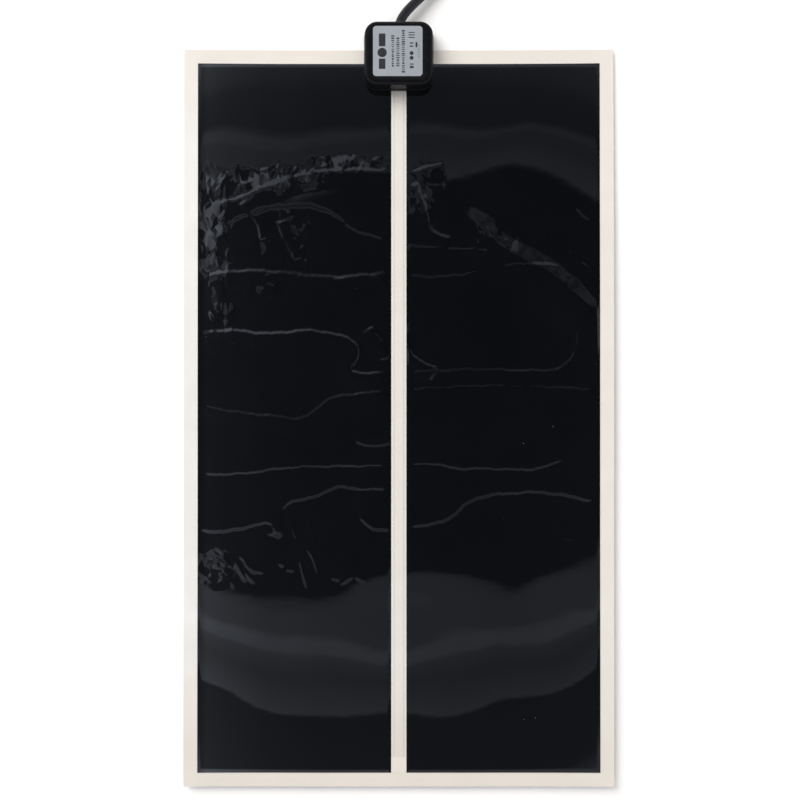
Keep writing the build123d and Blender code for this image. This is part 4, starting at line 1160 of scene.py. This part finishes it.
FACE_WIDTH, FACE_HEIGHT, FACE_R = 37.0, 25.2, 9.0
FACE = GRIP_END + FLANGE_LENGTH
RIM_R = 1.6
NOTCH_HALF_WIDTH, NOTCH_DEPTH = 3.2, 2.4
INSERT_WIDTH, INSERT_HEIGHT, INSERT_R = 29.0, 15.0, 5.0
PIN_R, PIN_NECK_R, PIN_TIP_R = 2.4, 2.0, 1.6
PLUG_CORNER_STEPS, PLUG_SIDE_STEPS = 12, 10


def plug_ring(distance, width, height, radius, notch=0.0):
    """A ring across the plug. Its sides can be pushed in by a notch of a given depth."""
    loop = rounded_rectangle((0, 0), width, height, radius, PLUG_CORNER_STEPS, PLUG_SIDE_STEPS)
    if notch:
        reach = 1 - ease((np.abs(loop[:, 1]) / NOTCH_HALF_WIDTH - 0.55) / 0.45)
        on_side = np.abs(loop[:, 0]) > width / 2 - 1.0
        loop[:, 0] -= np.sign(loop[:, 0]) * notch * reach * on_side
    x = np.full(len(loop), mouth_x - distance)
    return np.column_stack((x, plug_y + loop[:, 0], plug_z + loop[:, 1]))


def boot_rings():
    """The ribbed boot, from the inside of its mouth to the grip."""
    sizes = list(BOOT_MOUTH)
    for i in range(BOOT_SAMPLES + 1):
        along = BOOT_START + (BOOT_LENGTH - BOOT_START) * i / BOOT_SAMPLES
        radius = BOOT_MOUTH_R + (BOOT_ROOT_R - BOOT_MOUTH_R) * along / BOOT_LENGTH
        phase = along / RIB_SPACING - 0.7
        from_groove = abs(phase - round(phase)) * RIB_SPACING
        if 0 <= round(phase) < BOOT_RIBS:
            radius -= RIB_GROOVE_DEPTH * (1 - float(ease((from_groove - 0.55) / 0.45)))
        sizes.append((along, radius))
    return [plug_ring(distance, 2 * radius, 2 * radius, radius) for distance, radius in sizes]


def flange_ring(distance, inset, notch):
    size = FACE_WIDTH - 2 * inset, FACE_HEIGHT - 2 * inset
    return plug_ring(distance, *size, FACE_R - inset, notch)


def insert_ring(distance, gap):
    """A ring of the face's insert, or of the hollow that stands off it by gap."""
    return plug_ring(distance, INSERT_WIDTH + 2 * gap, INSERT_HEIGHT + 2 * gap, INSERT_R + gap)


def build_plug_body():
    """Boot, waisted grip and contoured flange in one soft moulding, hollowed at the mouth and the face."""
    rings = boot_rings()
    for distance, width, height, radius in smooth_curve(GRIP_STATIONS, step=0.9):
        rings.append(plug_ring(distance, width, height, min(radius, width / 2 - 0.01, height / 2 - 0.01)))
    angles = [math.radians(15 * step) for step in range(1, 7)]
    for angle in angles:
        inset, past = RIM_R * (1 - math.sin(angle)), RIM_R * (1 - math.cos(angle))
        rings.append(flange_ring(GRIP_END + past, inset, NOTCH_DEPTH * math.sin(angle)))
    for distance in np.linspace(GRIP_END + 3.0, FACE - RIM_R, 7):
        rings.append(flange_ring(distance, 0, NOTCH_DEPTH))
    for angle in angles:
        inset, before = RIM_R * (1 - math.cos(angle)), RIM_R * (1 - math.sin(angle))
        rings.append(flange_ring(FACE - before, inset, NOTCH_DEPTH))
    hollow = ((0.0, 0.35), (0.15, 0.15), (1.0, 0.1), (4.0, 0.1))
    rings += [insert_ring(FACE - depth, gap) for depth, gap in hollow]
    make_piece("plug_moulding", loft(rings), PLUG_PVC, "plug", "plug_pvc", ["plug_body"])


def build_plug_insert():
    profile = ((4.0, 0.0), (0.25, 0.0), (0.05, -0.12), (0.0, -0.4))
    shell = loft([insert_ring(FACE - depth, gap) for depth, gap in profile])
    make_piece("plug_face_insert", shell, INSERT_PLASTIC, "plug", "insert_plastic", ["plug_insert"])


def build_pins():
    """Two round pins with a small shoulder at the face and rounded tips."""
    face_x = mouth_x - FACE
    shells = []
    for pin_y in (pins_low.y + PIN_R, pins_high.y - PIN_R):
        profile = [(face_x + 1.5, PIN_NECK_R), (face_x + 0.02, PIN_NECK_R), (face_x - 0.02, PIN_R)]
        profile += [(face_x - length, PIN_R) for length in (4.0, 8.0, 12.0, 16.0)]
        for step in range(9):
            angle = math.radians(90 * step / 8)
            along = pins_low.x + PIN_TIP_R * (1 - math.sin(angle))
            profile.append((along, PIN_R - PIN_TIP_R * (1 - math.cos(angle))))
        shells.append(revolved(profile, (0, pin_y, plug_z), "x"))
    make_piece("plug_contact_pins", joined(shells), NICKEL, "plug", "nickel_pins", ["plug_pins"])


build_box_base()
build_box_cover()
build_label()
build_grommet()
build_cord()
build_cores()
build_plug_body()
build_plug_insert()
build_pins()

# ---------------------------------------------------------------- stage, light and camera

VIEW_CENTRE = (0.8, 11.3)
VIEW_DISTANCE = 730.0
VIEW_WIDTH = 523.5
FLOOR_HALF, FLOOR_Z = 60.0, -0.0001


def build_floor():
    material, tree, place = new_material("pale_floor")
    cloud = noise(tree, place, 3.0, 2.0)
    colour = value_ramp(tree, cloud, ((0.3, 0.93), (0.7, 0.95)))
    principled(material, colour, 0.7, **{"Specular IOR Level": 0.1})
    mesh = bpy.data.meshes.new("floor")
    corners = [(x * FLOOR_HALF, y * FLOOR_HALF, FLOOR_Z) for x, y in ((-1, -1), (1, -1), (1, 1), (-1, 1))]
    mesh.from_pydata(corners, [], [(0, 1, 2, 3)])
    mesh.materials.append(material)
    floor = bpy.data.objects.new("floor", mesh)
    bpy.context.scene.collection.objects.link(floor)


def add_light(name, kind, place, energy, colour, **settings):
    """A light at place that points at the mat's centre; glossy surfaces see the studio instead of it."""
    data = bpy.data.lights.new(name, kind)
    data.energy = energy
    data.color = colour
    for key, value in settings.items():
        setattr(data, key, value)
    light = bpy.data.objects.new(name, data)
    bpy.context.scene.collection.objects.link(light)
    light.location = place
    light.rotation_mode = "QUATERNION"
    light.rotation_quaternion = (-Vector(place)).to_track_quat("-Z", "Y")
    light.visible_glossy = False
    light.visible_camera = False


# How bright the studio is overhead, seen in the film: (slope from straight up towards +Y, level).
STUDIO_BANDS = (
    (-0.50, 0.80), (-0.37, 0.70), (-0.320, 0.17), (-0.226, 0.13),
    (-0.2235, 0.42), (-0.218, 0.38), (-0.190, 0.27), (-0.172, 0.36),
    (-0.1705, 0.52), (-0.157, 0.56), (-0.155, 0.36), (-0.1335, 0.34),
    (-0.131, 0.085), (0.0, 0.075), (0.1985, 0.068), (0.2015, 0.31),
    (0.214, 0.29), (0.228, 0.22), (0.2405, 0.22), (0.242, 0.28),
    (0.249, 0.28), (0.2505, 0.13), (0.285, 0.16), (0.300, 0.23),
    (0.345, 0.32), (0.38, 0.70), (0.50, 0.80),
)


def studio_overhead(tree, direction):
    """What a glossy surface sees of the studio: dark overhead, pale bands further out, bright low down."""
    x, y, z = axes_of(tree, direction)
    rise = math_node(tree, "MAXIMUM", z, 0.02)
    across = math_node(tree, "DIVIDE", x, rise)
    along = math_node(tree, "DIVIDE", y, rise)
    square = math_node(tree, "MINIMUM", math_node(tree, "MULTIPLY", across, across), 0.08)
    bow = math_node(tree, "MULTIPLY_ADD", square, 4.0, 1.0)
    turn_in, turn_out = mapped(tree, along, 0.05, 0.15, 0.0, -0.16), mapped(tree, along, 0.20, 0.25, 1.0, 0.0)
    lower = mapped(tree, along, -0.05, 0.05, -0.06, 0.0)
    turned = math_node(tree, "MULTIPLY_ADD", turn_in, turn_out, lower)
    slant = math_node(tree, "MULTIPLY", across, turned)
    bowed = math_node(tree, "MULTIPLY_ADD", along, bow, slant)
    stops = tuple((0.5 + position, level) for position, level in STUDIO_BANDS)
    bands = value_ramp(tree, mapped(tree, bowed, -0.5, 0.5, 0.0, 1.0), stops)
    bands = math_node(tree, "MULTIPLY", bands, mapped(tree, across, -0.2, 0.2, 1.3, 0.75))
    sideways = mapped(tree, math_node(tree, "ABSOLUTE", across), 0.26, 0.5, 0.0, 1.0, "SMOOTHSTEP")
    level = mapped(tree, sideways, 0.0, 1.0, bands, 0.75)
    horizon = mapped(tree, z, 0.75, 0.25, 0.0, 1.0, "SMOOTHSTEP")
    return mapped(tree, horizon, 0.0, 1.0, level, 1.0)


def build_world():
    world = bpy.data.worlds.new("studio")
    bpy.context.scene.world = world
    world.use_nodes = True
    tree = world.node_tree
    tree.nodes.clear()
    direction = add_node(tree, "ShaderNodeTexCoord", output="Generated")
    level = studio_overhead(tree, direction)
    tint = mixed_colour(tree, 1.0, (0.90, 0.97, 1.12, 1), level, "MULTIPLY")
    seen = add_node(tree, "ShaderNodeBackground", {"Color": tint, "Strength": 1.0})
    even = add_node(tree, "ShaderNodeBackground", {"Color": (1.0, 0.985, 0.97, 1), "Strength": 0.66})
    backdrop = add_node(tree, "ShaderNodeBackground", {"Color": (1.0, 1.0, 1.0, 1), "Strength": 1.05})
    rays = tree.nodes.new("ShaderNodeLightPath")
    mixed = mixed_shader(tree, rays.outputs["Is Glossy Ray"], even, seen)
    mixed = mixed_shader(tree, rays.outputs["Is Camera Ray"], mixed, backdrop)
    add_node(tree, "ShaderNodeOutputWorld", (mixed,))


def build_camera():
    data = bpy.data.cameras.new("camera")
    data.sensor_width = 36
    data.angle = 2 * math.atan(VIEW_WIDTH / 2 / VIEW_DISTANCE)
    data.clip_start, data.clip_end = 0.01, 20
    camera = bpy.data.objects.new("camera", data)
    bpy.context.scene.collection.objects.link(camera)
    camera.location = (VIEW_CENTRE[0] * MM, VIEW_CENTRE[1] * MM, VIEW_DISTANCE * MM)
    bpy.context.scene.camera = camera


build_floor()
build_world()
add_light("key", "SUN", (-0.8, 1.0, 1.2), 1.35, (1.0, 0.985, 0.965), angle=math.radians(45))
add_light("near_key", "AREA", (-0.72, 0.82, 1.0), 9.0, (1.0, 0.985, 0.965), shape="DISK", size=1.1)
build_camera()

view_settings = bpy.context.scene.view_settings
view_settings.view_transform = "Standard"
view_settings.look = "None"
